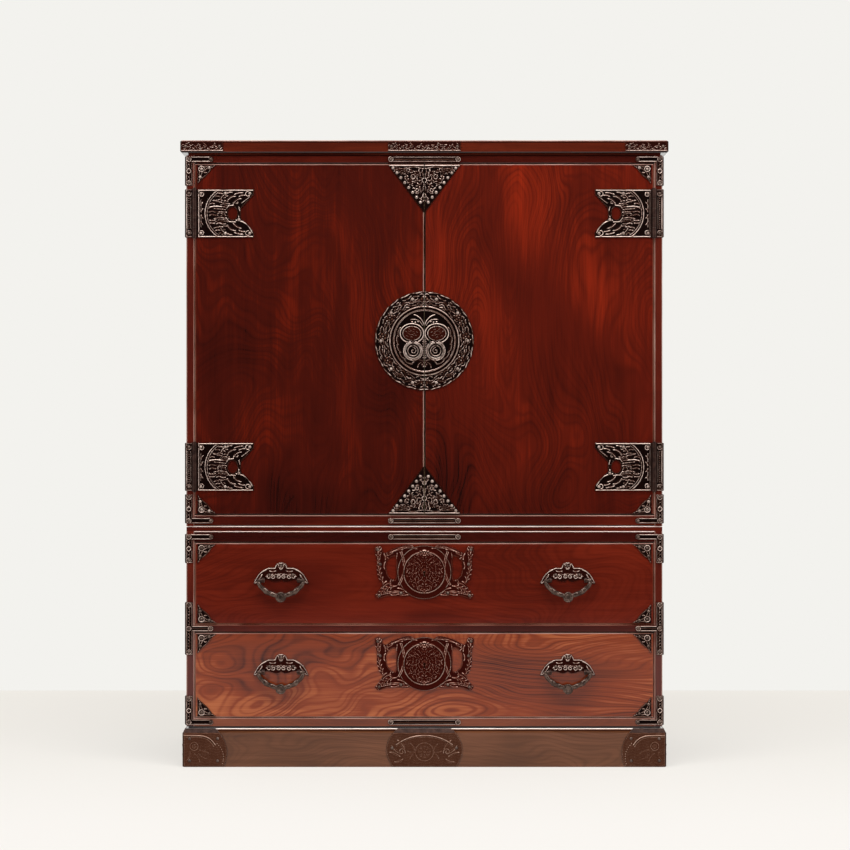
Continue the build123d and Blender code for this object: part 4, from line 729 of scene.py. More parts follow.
def sheet_grid(rims, clearings, work, window):
    """Places, heights, tones and faces of the chased sheet inside one plate's rims."""
    low, high = rims[0].min(0), rims[0].max(0)
    if window:
        low[0], high[0] = max(low[0], window[0]), min(high[0], window[1])
    u, v = np.meshgrid(*(np.arange(a - CELL * 0.7, b + CELL, CELL) for a, b in zip(low, high)))
    inside, edge, foot = measured(u, v, rims)
    if window:
        inside &= (u > low[0]) & (u < high[0])
    # grid points just outside the plate are drawn on to its edge
    outward = np.maximum(np.hypot(u - foot[0], v - foot[1]), 1e-6)
    tucked = [foot[i] + (foot[i] - place) / outward * TUCK for i, place in enumerate((u, v))]
    snap = ~inside & (edge < 2 * CELL)
    u, v = np.where(snap, tucked[0], u), np.where(snap, tucked[1], v)
    sheet = Chasing(u, v, np.where(inside, edge, 0), np.zeros(u.shape), np.zeros(u.shape))
    work(sheet)
    height = sheet.height
    for place, wider in clearings:
        away = np.hypot(u - place[0], v - place[1]) - NAIL_CLEAR[0] * wider
        height *= np.clip(away / (NAIL_CLEAR[1] - NAIL_CLEAR[0]), 0, 1)
    held = inside | snap
    sides = slice(None, -1), slice(1, None)
    corners = [(across, up) for across in sides for up in sides]
    cells = np.any([inside[corner] for corner in corners], axis=0)
    cells &= np.all([held[corner] for corner in corners], axis=0)
    row, column = np.nonzero(cells)
    wide = u.shape[1]
    first = row * wide + column
    quads = np.stack([first, first + 1, first + wide + 1, first + wide], 1)
    used, quads = np.unique(quads, return_inverse=True)
    kept = [values.ravel()[used] for values in (u, v, height + PROUD, rubbed(height), sheet.warmth)]
    return *kept, quads.reshape(-1, 4)


def closed_skin(u, v, height, quads, facing, level):
    """Points and faces of a sheet: its chased face, its back inside the plate, and its sides."""
    across, depth, outward = FACING[facing]
    count = len(u)
    skin = np.empty((2 * count, 3))
    skin[:, across], skin[:, UP] = np.tile(u, 2), np.tile(v, 2)
    skin[:count, depth] = level + outward * (PLATE + height)
    skin[count:, depth] = level + outward * (PLATE - SUNK)
    if facing == "left":
        quads = quads[:, ::-1]
    sides = np.concatenate([quads[:, [i, (i + 1) % 4]] for i in range(4)])
    there, back = sides[:, 0] * count + sides[:, 1], sides[:, 1] * count + sides[:, 0]
    bare = sides[~np.isin(there, back)]
    walls = np.stack([bare[:, 1], bare[:, 0], bare[:, 0] + count, bare[:, 1] + count], 1)
    return skin / 1000, np.concatenate([quads, quads[:, ::-1] + count, walls])


def plates_of(node, facing, level, window):
    """For each of a node's plates on one plane: its rims, and the middles of its nail holes."""
    rims = flat_rims(node, facing, level)
    if not rims:
        raise ValueError(f"{node} has no plate on {facing} {level}")
    sign = np.sign(area(max(rims, key=lambda rim: abs(area(rim)))))
    for outer in (rim for rim in rims if area(rim) * sign > 0):
        low, high = outer.min(0), outer.max(0)
        if window and (high[0] < window[0] or low[0] > window[1]):
            continue
        openings, nails = [], []
        for rim in rims:
            middle = rim.mean(0)
            if area(rim) * sign < 0 and (middle > low).all() and (middle < high).all():
                if np.hypot(*(rim - np.roll(rim, -1, 0)).T).sum() < NAIL_LOOP:
                    nails.append((middle, 1.0))
                else:
                    openings.append(rim)
        yield [outer] + openings, nails


def placed(name, data):
    """Puts a mesh, a lamp or a camera into the scene."""
    made = bpy.data.objects.new(name, data)
    bpy.context.scene.collection.objects.link(made)
    return made


def iron_piece(name, points, faces, iron, body):
    """A smooth piece of iron, from points in metres, that moves with a body."""
    mesh = bpy.data.meshes.new(name)
    mesh.from_pydata(points.tolist(), [], faces)
    mesh.polygons.foreach_set("use_smooth", [True] * len(mesh.polygons))
    mesh.materials.append(iron)
    piece = placed(name, mesh)
    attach(piece, body)
    return piece


def chased(name, node, facing, level, work, window=None, clearings=(), iron=None):
    """A closed sheet of raised iron over each of a node's plates on one plane."""
    points, faces, tones, warm = [], [], [], []
    total = 0
    for rims, nails in plates_of(node, facing, level, window):
        u, v, height, burnish, warmth, quads = sheet_grid(rims, nails + list(clearings), work, window)
        skin, sides = closed_skin(u, v, height, quads, facing, level)
        points.append(skin)
        faces.append(sides + total)
        total += len(skin)
        # the back of the sheet is neither rubbed nor red
        tones += [burnish, burnish * 0]
        warm += [warmth, warmth * 0]
    sheet = iron_piece(name, np.concatenate(points), np.concatenate(faces).tolist(),
                       iron or CHASED_IRON, NODES[node]["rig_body"])
    for label, values in (("burnish", tones), ("warmth", warm)):
        layer = sheet.data.attributes.new(label, "FLOAT", "POINT")
        layer.data.foreach_set("value", np.concatenate(values))


# ---------------------------------------------------------------- materials
def colour(hex_code):
    """An sRGB hex colour as the linear values that the shaders mix."""
    parts = [int(hex_code[i:i + 2], 16) / 255 for i in (0, 2, 4)]
    linear = [p / 12.92 if p <= 0.04045 else ((p + 0.055) / 1.055) ** 2.4 for p in parts]
    return *linear, 1.0


def add(owner, kind, inputs=(), stops=(), **settings):
    """Adds a node; an input is a value or another node's output, and stops are a ramp's colours."""
    made = owner.node_tree.nodes.new("ShaderNode" + kind)
    for setting, value in settings.items():
        setattr(made, setting, value)
    for socket, value in dict(inputs).items():
        if isinstance(value, bpy.types.NodeSocket):
            owner.node_tree.links.new(value, made.inputs[socket])
        else:
            made.inputs[socket].default_value = value
    if stops:
        ramp = made.color_ramp
        while len(ramp.elements) < len(stops):
            ramp.elements.new(0.5)
        for element, (place, shade) in zip(ramp.elements, stops):
            element.position, element.color = place, colour(shade)
    return made


def material(name):
    """An empty material."""
    made = bpy.data.materials.new(name)
    made.use_nodes = True
    made.node_tree.nodes.clear()
    return made


def finish(made, shader):
    """Gives a material its surface."""
    add(made, "OutputMaterial", {"Surface": shader.outputs["BSDF"]})
    return made


def growth_rings(made, board, figure):
    """How dark the growth rings are where they come out on a flat-sawn board."""
    # the trunk's swell, drawn out along the grain; its contours are the rings
    swell = add(made, "Mapping", {"Vector": board, "Scale": (3.4, 0.5, 1.5)}).outputs[0]
    swell = add(made, "TexNoise", {"Vector": swell, "Scale": 1.0, "Detail": 2.4, "Roughness": 0.45,
                                   "Distortion": 0.35}).outputs["Fac"]
    rings = add(made, "Math", {0: swell, 1: 34.0}, operation="MULTIPLY").outputs[0]
    across = add(made, "SeparateXYZ", {0: board}).outputs["X"]
    rings = add(made, "Math", {0: across, 1: 26.0, 2: rings}, operation="MULTIPLY_ADD").outputs[0]
    # the figure fades in and out over the board
    depth = add(made, "Mapping", {"Vector": board, "Scale": (7.0, 1.0, 4.0)}).outputs[0]
    depth = add(made, "TexNoise", {"Vector": depth, "Scale": 1.0, "Detail": 1.0}).outputs["Fac"]
    depth = add(made, "MapRange", {"Value": depth, "From Min": 0.35, "From Max": 0.68,
                                   "To Min": 0.25, "To Max": 1.0}).outputs[0]
    # bands 20 to 40 mm apart, and single rings about 9 mm apart
    bands = []
    for pitch, sharp, share in ((1.0, 2.2, -0.11), (2.6, 3.0, -0.13)):
        turns = 2 * math.pi * pitch
        wave = add(made, "Math", {0: rings, 1: turns}, operation="MULTIPLY").outputs[0]
        wave = add(made, "Math", {0: wave}, operation="SINE").outputs[0]
        band = add(made, "MapRange", {"Value": wave, "From Min": -1, "From Max": 1}).outputs[0]
        band = add(made, "Math", {0: band, 1: sharp}, operation="POWER").outputs[0]
        band = add(made, "Math", {0: band, 1: share * figure}, operation="MULTIPLY").outputs[0]
        bands.append(add(made, "Math", {0: band, 1: depth}, operation="MULTIPLY").outputs[0])
    return add(made, "Math", {0: bands[0], 1: bands[1]}, operation="ADD").outputs[0]


def streaks(made, board, tone):
    """Lays pores, fibres and slow clouds of tone over the rings, each longest along the grain."""
    # patterns in a metre across, into and along the board; real pores are 0.3 mm wide, and
    # these are about 2.6 mm, so that they show
    for label, stretch, detail, waver, share in (("pores", (380, 60, 11), 2.5, 0.0, 0.3),
                                                 ("fibres", (90, 20, 4), 2.0, 0.0, 0.28),
                                                 ("clouds", (6.5, 0.5, 2.6), 1.6, 0.6, 0.85)):
        streak = add(made, "Mapping", {"Vector": board, "Scale": stretch}, label=label).outputs[0]
        streak = add(made, "TexNoise", {"Vector": streak, "Scale": 1.0, "Detail": detail,
                                        "Distortion": waver}).outputs["Fac"]
        streak = add(made, "Math", {0: streak, 1: share, 2: -share / 2},
                     operation="MULTIPLY_ADD").outputs[0]
        tone = add(made, "Math", {0: tone, 1: streak}, operation="ADD").outputs[0]
    return tone


def painted_front_line(made, spot, shade, low, high, tint):
    """A line painted along a front between two heights: a pale one is a painted highlight, a dark one
    painted shade.
    """
    # in metres; the line is only on what lies before y = -0.2, at the front
    place = add(made, "SeparateXYZ", {0: spot})
    above = add(made, "Math", {0: place.outputs["Z"], 1: low}, operation="GREATER_THAN").outputs[0]
    below = add(made, "Math", {0: place.outputs["Z"], 1: high}, operation="LESS_THAN").outputs[0]
    ahead = add(made, "Math", {0: place.outputs["Y"], 1: -0.2}, operation="LESS_THAN").outputs[0]
    line = add(made, "Math", {0: above, 1: below}, operation="MULTIPLY").outputs[0]
    line = add(made, "Math", {0: line, 1: ahead}, operation="MULTIPLY").outputs[0]
    # inputs 6 and 7 of a Mix node are its two colours, and output 2 is its colour
    return add(made, "Mix", {0: line, 6: shade, 7: colour(tint)}, data_type="RGBA").outputs[2]


def keyaki(name, upright, place, shades, figure=1.0, painted_foot_shade=0.0, lines=()):
    """Flat-sawn keyaki under wiped lacquer: swirling rings and fine pores below a clear deep gloss.

    Its grain runs up the chest or across it; place picks the part of the tree; shades go from the
    dark rings to the light wood; the foot shade argument is painted shade that darkens a door
    towards its foot.
    """
    made = material(name)
    turn = (0, 0, 0) if upright else (0, math.pi / 2, 0)
    spot = add(made, "TexCoord").outputs["Object"]
    board = add(made, "Mapping", {"Vector": spot, "Location": place, "Rotation": turn}).outputs[0]
    tone = streaks(made, board, growth_rings(made, board, figure))
    tone = add(made, "Math", {0: tone, 1: 0.55}, operation="ADD").outputs[0]
    if painted_foot_shade:
        # painted shade: darkest at the doors' foot, 0.56 m up, and gone at 1 m
        depth = add(made, "SeparateXYZ", {0: spot}).outputs["Z"]
        depth = add(made, "MapRange", {"Value": depth, "From Min": 0.56, "From Max": 1.0,
                                       "To Min": -painted_foot_shade, "To Max": 0.0}).outputs[0]
        tone = add(made, "Math", {0: tone, 1: depth}, operation="ADD").outputs[0]
    shade = add(made, "ValToRGB", {0: tone}, stops=list(zip((0.0, 0.5, 1.0), shades))).outputs[0]
    for low, high, tint in lines:
        shade = painted_front_line(made, spot, shade, low, high, tint)
    dents = add(made, "Bump", {"Height": tone, "Strength": 0.05, "Distance": 0.0005}).outputs[0]
    return finish(made, add(made, "BsdfPrincipled", {
        "Base Color": shade, "Roughness": 0.6, "IOR": 1.5, "Specular IOR Level": 0.03,
        "Coat Weight": 1.0, "Coat Roughness": 0.09, "Coat IOR": 1.42, "Normal": dents}))


def painted_arris(name, low, high):
    """Paint for an eased edge, chosen by the way the edge faces: pale colours are painted highlight,
    dark ones painted shade.
    """
    made = material(name)
    spot = add(made, "TexCoord").outputs["Object"]
    # the paint comes and goes in patches about every 110 mm
    wear = add(made, "TexNoise", {"Vector": spot, "Scale": 9.0, "Detail": 3.0}).outputs["Fac"]
    shade = add(made, "ValToRGB", {0: wear}, stops=((0.35, low), (0.65, high))).outputs[0]
    return finish(made, add(made, "BsdfPrincipled", {
        "Base Color": shade, "Roughness": 0.35, "IOR": 1.5, "Specular IOR Level": 0.1,
        "Coat Weight": 1.0, "Coat Roughness": 0.1}))


def chased_iron(name, iron, red):
    """Iron chased from the back and blackened with baked lacquer, its ridges rubbed to metal."""
    made = material(name)
    spot = add(made, "TexCoord").outputs["Object"]
    burnish = add(made, "Attribute", attribute_name="burnish").outputs["Fac"]
    warmth = add(made, "Attribute", attribute_name="warmth").outputs["Fac"]
    # clouds of old rust about 17 mm across
    rust = add(made, "TexNoise", {"Vector": spot, "Scale": 60.0, "Detail": 4.0}).outputs["Fac"]
    rust = add(made, "Math", {0: rust, 1: 0.34, 2: -0.17}, operation="MULTIPLY_ADD").outputs[0]
    tone = add(made, "Math", {0: burnish, 1: rust}, operation="ADD").outputs[0]
    iron = add(made, "ValToRGB", {0: tone}, stops=iron).outputs[0]
    red = add(made, "ValToRGB", {0: tone}, stops=red).outputs[0]
    shade = add(made, "Mix", {0: warmth, 6: iron, 7: red}, data_type="RGBA").outputs[2]
    rough = add(made, "MapRange", {"Value": tone, "To Min": 0.5, "To Max": 0.3}).outputs[0]
    # hammer and punch marks about 2 mm across
    hammer = add(made, "TexNoise", {"Vector": spot, "Scale": 480.0, "Detail": 2.0}).outputs["Fac"]
    dents = add(made, "Bump", {"Height": hammer, "Strength": 0.25, "Distance": 0.0004}).outputs[0]
    return finish(made, add(made, "BsdfPrincipled", {
        "Base Color": shade, "Metallic": 0.7, "Roughness": rough, "Normal": dents,
        "Specular IOR Level": 0.15}))


def plain_iron(name, low, high, rough):
    """Forged iron under the same baked lacquer, smooth from handling."""
    made = material(name)
    spot = add(made, "TexCoord").outputs["Object"]
    # dull and bright patches about 11 mm across
    wear = add(made, "TexNoise", {"Vector": spot, "Scale": 90.0, "Detail": 4.0}).outputs["Fac"]
    shade = add(made, "ValToRGB", {0: wear}, stops=((0.3, low), (0.7, high))).outputs[0]
    dents = add(made, "Bump", {"Height": wear, "Strength": 0.3, "Distance": 0.0005}).outputs[0]
    return finish(made, add(made, "BsdfPrincipled", {
        "Base Color": shade, "Metallic": 0.7, "Roughness": rough, "Normal": dents}))


def paulownia(name, stretch):
    """Bare planed paulownia: pale and silky, with straight soft grain."""
    made = material(name)
    spot = add(made, "TexCoord").outputs["Object"]
    grain = add(made, "Mapping", {"Vector": spot, "Scale": stretch}).outputs[0]
    grain = add(made, "TexNoise", {"Vector": grain, "Scale": 1.0, "Detail": 3.0}).outputs["Fac"]
    shade = add(made, "ValToRGB", {0: grain}, stops=(
        (0.25, "B08F66"), (0.5, "CBAE84"), (0.8, "DCC49D"))).outputs[0]
    dents = add(made, "Bump", {"Height": grain, "Strength": 0.2, "Distance": 0.0004}).outputs[0]
    return finish(made, add(made, "BsdfPrincipled", {
        "Base Color": shade, "Roughness": 0.62, "IOR": 1.5, "Normal": dents}))


# near-black ground with pale rubbed ridges; where it is warm, red-brown lacquer is left on it
CHASED_IRON = chased_iron(
    "chased_blackened_iron",
    ((0.0, "0A0100"), (0.24, "1E0601"), (0.50, "34160C"), (0.72, "684638"), (0.98, "EAD2C6")),
    ((0.0, "320A03"), (0.35, "441206"), (0.72, "684638"), (0.98, "EAD2C6")))
# the base's plates are brown all over, and their ridges hardly rubbed
WORN_LACQUER = ((0.0, "4A281A"), (0.3, "5E3A2A"), (0.7, "7E5C4A"), (1.0, "C0A494"))
BASE_IRON = chased_iron("chased_iron_under_worn_lacquer", WORN_LACQUER, WORN_LACQUER)
# the locks keep most of their red lacquer
LOCK_IRON = chased_iron(
    "chased_red_lacquered_iron",
    ((0.0, "0C0100"), (0.3, "280903"), (0.55, "50291E"), (0.8, "7E5C4E"), (1.0, "CEB2A6")),
    ((0.0, "3C0902"), (0.4, "4C1004"), (0.75, "7A4030"), (1.0, "DCB6A6")))
# plain ironwork, from blackened to rubbed bright by hands
SMOOTH_IRON = plain_iron("smooth_blackened_iron", "22100B", "4A322A", 0.38)
HANDLED_IRON = plain_iron("iron_worn_by_hands", "30201A", "6E5A50", 0.24)
PULL_IRON = plain_iron("iron_rubbed_bright_by_hands", "6A564C", "C0AEA4", 0.24)
NAIL_IRON = plain_iron("blackened_nail_heads", "3A2820", "7A665C", 0.3)
BRIGHT_NAIL = plain_iron("rubbed_nail_heads", "7A655B", "BCA89E", 0.3)
# the locks' bolts and the door's lock case: grey, without lacquer
STEEL = plain_iron("plain_steel", "6F6C68", "A09C96", 0.38)
# grain lines 200 mm long and 6 mm apart, drawn coarser than real ones so that they show
PAULOWNIA = paulownia("planed_paulownia", (5.0, 160.0, 160.0))
PAULOWNIA_ENDS = paulownia("planed_paulownia_ends", (160.0, 5.0, 160.0))

# the doors: deep red, the left one darker, both given painted shade that is darkest at the foot
LEFT_DOOR = keyaki("left_door_keyaki", True, (0.7, 0.1, 0.35), ("160100", "3E0A02", "741A05"),
                   painted_foot_shade=0.16)
RIGHT_DOOR = keyaki("right_door_keyaki", True, (2.4, 0.1, 1.9), ("1C0200", "501004", "8E240A"),
                    painted_foot_shade=0.24)
# the drawers: quiet red above, and bold orange-brown figure below, its paleness partly a painted
# reflection of the pale floor
UPPER_DRAWER = keyaki("upper_drawer_keyaki", False, (0.2, 0.4, 0.9),
                      ("2A0602", "4E1105", "74220F"), 0.8)
LOWER_DRAWER = keyaki("lower_drawer_keyaki", False, (1.2, 0.3, 0.1),
                      ("300A02", "782E0E", "C07040"), 2.2)
# the base: brown without the red, a colour that is partly a painted reflection of the pale floor; a
# painted highlight along its upper edge, with a line of painted shade under it
BASE_BOARDS = keyaki("base_keyaki", False, (0.5, 0.7, 1.1), ("2C0E06", "563018", "7A4A30"), 0.8,
                     lines=((0.0834, 0.0852, "FFF0E8"), (0.0790, 0.0812, "2A1008")))
# the case's boards: dark, with a quiet figure; their foot has a painted black shadow line where it
# stands on the base
FOOT_SHADOW_LINE = (0.0845, 0.0896, "120200")
STILES = keyaki("stile_keyaki", True, (0.9, 0.2, 0.6), ("260503", "48130A", "6A2312"), 0.4,
                lines=(FOOT_SHADOW_LINE,))
RAILS = keyaki("rail_keyaki", False, (0.3, 0.9, 0.4), ("1A0301", "3A0A03", "601A0A"), 0.4)
LOW_TOP = keyaki("case_top_keyaki", False, (2.1, 0.6, 0.2), ("140100", "2E0602", "4C120A"), 0.4)
LOW_RAIL = keyaki("lowest_rail_keyaki", False, (1.1, 0.5, 0.7), ("3E160A", "6A3018", "86482C"),
                  0.4, lines=(FOOT_SHADOW_LINE,))
# the crown's board, with a painted dark line of shade along its upper edge
CROWN = keyaki("crown_keyaki", False, (1.7, 0.2, 0.8), ("240602", "441205", "682410"), 0.4,
               lines=((1.3800, 1.3822, "140200"),))

WOOD = {
    "left_door_panel": LEFT_DOOR, "right_door_panel": RIGHT_DOOR,
    "left_door_frame": STILES, "right_door_frame": STILES,
    "upper_drawer_front": UPPER_DRAWER, "lower_drawer_front": LOWER_DRAWER,
    "base_rails": BASE_BOARDS, "crown_board": CROWN, "case_spacer": RAILS,
    "lower_case_sides": STILES, "upper_case_sides": STILES,
    "lower_case_floor": LOW_RAIL, "lower_middle_rail": RAILS, "lower_case_top": LOW_TOP,
    "upper_case_floor": RAILS, "upper_case_top": RAILS}
PLAIN_NODES = ("base_corner_blocks", "lower_drawer_runners", "case_backs", "shelf_and_runners",
               "upper_drawer_box", "lower_drawer_box", "left_small_drawer",
               "right_small_drawer") + tuple(f"tray_{i}" for i in range(1, 6))
STEEL_NODES = ("door_lock_case", "door_lock_bolt", "upper_lock_bolt", "lower_lock_bolt")

# a lacquered board's finishes: its own, and four for its eased edges: three painted highlights and a
# painted shade
OWN, BRIGHT, SOFT, WARM, DARK = range(5)
ARRISES = (painted_arris("arris_painted_highlight", "E0C8BC", "FFF2EA"),
           painted_arris("arris_painted_soft_highlight", "7C5448", "A88478"),
           painted_arris("arris_painted_warm_highlight", "5E2C1E", "8A5A4A"),
           painted_arris("arris_painted_shade", "100100", "240602"))
# the finish of the eased edges that face up, down, left and right: painted highlight on most,
# brightest on some that face up, and painted shade on most that face down
ARRIS_FINISH = {
    "upper_case_floor": (SOFT, DARK, DARK, DARK), "lower_case_top": (BRIGHT, DARK, DARK, DARK),
    "case_spacer": (BRIGHT, DARK, WARM, WARM), "upper_case_top": (DARK, DARK, DARK, DARK),
    "lower_middle_rail": (WARM, DARK, DARK, DARK),
    "lower_case_sides": (DARK, DARK, SOFT, SOFT), "upper_case_sides": (DARK, DARK, SOFT, SOFT),
    "left_door_panel": (SOFT, DARK, WARM, SOFT), "right_door_panel": (SOFT, DARK, DARK, WARM),
    "upper_drawer_front": (SOFT, WARM, WARM, WARM),
    "lower_drawer_front": (SOFT, SOFT, WARM, WARM)}
OTHER_ARRIS = (SOFT, DARK, DARK, DARK)


# ---------------------------------------------------------------- dressing the CAD nodes
def board_finish(name, normal):
    """Which of a lacquered board's finishes a face has, by the way it faces."""
    # the crown's underside gets the dark arris paint, as painted shade
    if name == "crown_board" and normal.z < -0.95:
        return DARK
    # an eased edge faces half way between two axes, square to the third
    slant = sorted(abs(part) for part in normal)
    if slant[0] > 0.05 or abs(slant[1] - slant[2]) > 0.1:
        return OWN
    up, down, left, right = ARRIS_FINISH.get(name, OTHER_ARRIS)
    # by the way it faces, an eased edge gets painted highlight or painted shade
    if abs(normal.z) > 0.5 and abs(normal.x) < 0.5:
        return up if normal.z > 0 else down
    return left if normal.x < 0 else right


def iron_finish(name):
    """The finish of a metal node."""
    if name in STEEL_NODES:
        return STEEL
    if name.endswith("_nails"):
        return BRIGHT_NAIL if "door" in name else NAIL_IRON
    if name.endswith("_bail"):
        return HANDLED_IRON
    return PULL_IRON if name.endswith("_pull") else SMOOTH_IRON


def dress():
    """Gives every CAD node its finish, and the eased edges of the lacquered boards their painted
    highlights and shade.
    """
    for name, node in NODES.items():
        faces = node.data
        faces.materials.clear()
        if name in WOOD:
            for wood in (WOOD[name],) + ARRISES:
                faces.materials.append(wood)
            for face in faces.polygons:
                face.material_index = board_finish(name, face.normal)
        elif name in PLAIN_NODES:
            faces.materials.append(PAULOWNIA)
            faces.materials.append(PAULOWNIA_ENDS)
            for face in faces.polygons:
                face.material_index = int(abs(face.normal.x) > 0.9)
        else:
            faces.materials.append(iron_finish(name))


# ---------------------------------------------------------------- the raised ironwork
def chase_doors_and_ends(side, sign):
    """The sheets on one door and on one end of the chest; sign is -1 on the left."""
    pull = np.array([sign * PULL_CENTRE, CREST_LEVEL - PULL_DROP])
    chased(f"{side}_crest_chasing", f"{side}_crest_plate", "front", FRONT, crest_work,
           clearings=[(pull, PULL_CLEAR)])
    chased(f"{side}_door_plate_chasing", f"{side}_door_plates", "front", FRONT, door_work)
    # a hinge's leaf on the door stops short of its knuckles, and the case's begins beyond them
    chased(f"{side}_hinge_chasing", f"{side}_hinge_leaves", "front", FRONT, hinge_work,
           window=sorted((sign * 300.0, sign * (HINGE_AXIS - HINGE_KNUCKLE))))
    for node in ("upper_fittings", "lower_fittings"):
        chased(f"{side}_{node}_end_chasing", node, side, sign * CASE_SIDE, side_work)
    chased(f"{side}_hinge_end_chasing", "hinge_case_leaves", side, sign * CASE_SIDE, side_work)
    chased(f"{side}_crown_end_chasing", "upper_fittings", side, sign * CROWN_SIDE, side_work)
    chased(f"{side}_base_end_chasing", "lower_fittings", side, sign * BASE_SIDE, side_work,
           iron=BASE_IRON)
    chased(f"{side}_hinge_strip_chasing", "hinge_case_leaves", "front", FRONT, strip_work,
           window=sorted((sign * HINGE_STRIP, sign * 600.0)))


def chase_drawer(name):
    """The sheets on one drawer."""
    chased(f"{name}_lock_chasing", f"{name}_drawer_lock", "front", FRONT, lock_work,
           iron=LOCK_IRON)
    level = DRAWER_MIDDLE[name] + HANDLE_ABOVE_MIDDLE
    posts = [(np.array([side * HANDLE_CENTRE + end * HANDLE_POST, level]), POST_CLEAR)
             for side in (-1, 1) for end in (-1, 1)]
    chased(f"{name}_handle_chasing", f"{name}_handle_plates", "front", FRONT, handle_work,
           clearings=posts)
    chased(f"{name}_corner_chasing", f"{name}_drawer_plates", "front", FRONT, drawer_corner_work)


def chase_all():
    """Lays the chased sheets over the plates."""
    for side, sign in (("left", -1), ("right", 1)):
        chase_doors_and_ends(side, sign)
    for node in ("upper_fittings", "lower_fittings"):
        chased(f"{node}_chasing", node, "front", FRONT, case_work)
    chased("crown_plate_chasing", "upper_fittings", "front", CROWN_FRONT, crown_work)
    chased("base_plate_chasing", "lower_fittings", "front", BASE_FRONT, base_work, iron=BASE_IRON)
    for name in DRAWERS:
        chase_drawer(name)


def swept(run, sides, radii):
    """Points and faces of a closed tube along a run; radii is one row of radii for each point."""
    run = np.asarray(run, float)
    ahead = np.gradient(run, axis=0)
    ahead /= np.linalg.norm(ahead, axis=1)[:, None]
    side = np.cross(ahead, (0, 1, 0))
    side /= np.linalg.norm(side, axis=1)[:, None]
    turn = np.linspace(0, 2 * math.pi, sides, endpoint=False)
    spread = (side[:, None] * np.cos(turn)[None, :, None]
              + np.array([0, 1, 0]) * np.sin(turn)[None, :, None])
    points = (run[:, None] + spread * radii[..., None]).reshape(-1, 3)
    faces = []
    for start in range(0, (len(run) - 1) * sides, sides):
        for k in range(sides):
            a, b = start + k, start + (k + 1) % sides
            faces.append((a, a + sides, b + sides, b))
    faces.append(tuple(range(sides)))
    faces.append(tuple(range((len(run) - 1) * sides, len(run) * sides))[::-1])
    return points, faces


def bail_run(count):
    """Points down the middle of a bail's bar from its foot to its right pivot, in mm."""
    across = BAIL_SPAN - BAIL_TURN
    lean = 2 * math.atan((BAIL_DROP - BAIL_TURN) / across)
    wide = BAIL_TURN + across / math.sin(lean)
    foot, bend = wide * lean, BAIL_TURN * (math.pi / 2 - lean)
    along = np.linspace(0, foot + bend, count)
    low = along < foot
    turn = np.where(low, along / wide, lean + (along - foot) / BAIL_TURN)
    radius = np.where(low, wide, BAIL_TURN)
    hub_u, hub_v = np.where(low, 0, across), np.where(low, wide - BAIL_DROP, 0)
    return hub_u + radius * np.sin(turn), hub_v - radius * np.cos(turn)


def bail_leaves(centre, level, hand):
    """The leaf-wrapped swelling on one arm of a bail: fluted, with three collars."""
    # the bar stays bare next to the foot's bead and the pivot
    u, v = (places[7:62] for places in bail_run(66))
    run = np.stack([centre + hand * u, np.full(u.shape, FRONT - BAIL_PROUD), level + v], 1)
    inward = np.linspace(1, 0, len(run))
    swell = 0.3 + 2.3 * np.sin(math.pi * inward) ** 0.8 * (0.45 + 0.55 * inward)
    around = np.linspace(0, 2 * math.pi, TUBE_SIDES, endpoint=False)
    flutes = 0.5 + 0.5 * np.cos(3 * around[None, :] + 17 * inward[:, None])
    collars = sum(np.exp(-((inward - spot) / 0.018) ** 2) for spot in (0.06, 0.5, 0.95))
    radii = BAIL_BAR + swell[:, None] * (0.45 + 0.55 * flutes) + 0.9 * collars[:, None]
    radii[[0, -1]] = BAIL_BAR * 0.9
    # each arm is swept from its left end, so that its faces point outward
    return swept(run[::hand], TUBE_SIDES, radii[::hand])


def bead_rim(centre, level, inset, thick):
    """A raised ring on the face of a bail's flat bead."""
    turn = np.linspace(0, 2 * math.pi, RIM_STEPS)
    reach = BEAD_RADIUS - inset
    run = np.stack([centre + reach * np.cos(turn),
                    np.full(turn.shape, FRONT - BAIL_PROUD - BEAD_HALF + 0.7),
                    level - BEAD_DROP + reach * np.sin(turn)], 1)
    return swept(run, RIM_SIDES, np.full((RIM_STEPS, RIM_SIDES), thick))


def wrap_bail(name, label, side):
    """The relief of one bail: leaf-wrapped swellings on its bar, and rims on its flat bead."""
    centre, level = side * HANDLE_CENTRE, DRAWER_MIDDLE[name] + HANDLE_ABOVE_MIDDLE
    parts = [bail_leaves(centre, level, hand) for hand in (-1, 1)]
    parts += [bead_rim(centre, level, *rim) for rim in ((1.6, 1.5), (6.0, 1.2))]
    faces, total = [], 0
    for points, walls in parts:
        faces += [tuple(i + total for i in wall) for wall in walls]
        total += len(points)
    iron_piece(f"{name}_{label}_bail_leaves", np.concatenate([part[0] for part in parts]) / 1000,
               faces, HANDLED_IRON, f"{name}_{label}_handle")


dress()
chase_all()
for drawer in DRAWERS:
    wrap_bail(drawer, "left", -1)
    wrap_bail(drawer, "right", 1)

# ---------------------------------------------------------------- floor, light and camera
CAMERA_HEIGHT = 0.7561
CAMERA_AWAY = 5.0              # from the chest's front
CAMERA_ASIDE = 0.0014
FRAME_WIDTH = 1.8811           # what the picture spans at the chest's front
SENSOR = 36.0                  # mm
FLOOR_BACK, FLOOR_NEAR, FLOOR_SIDE = 1.22, -3.42, 4.5
MIDDLE = (0, -0.1, 0.7)        # what the lamps are aimed at


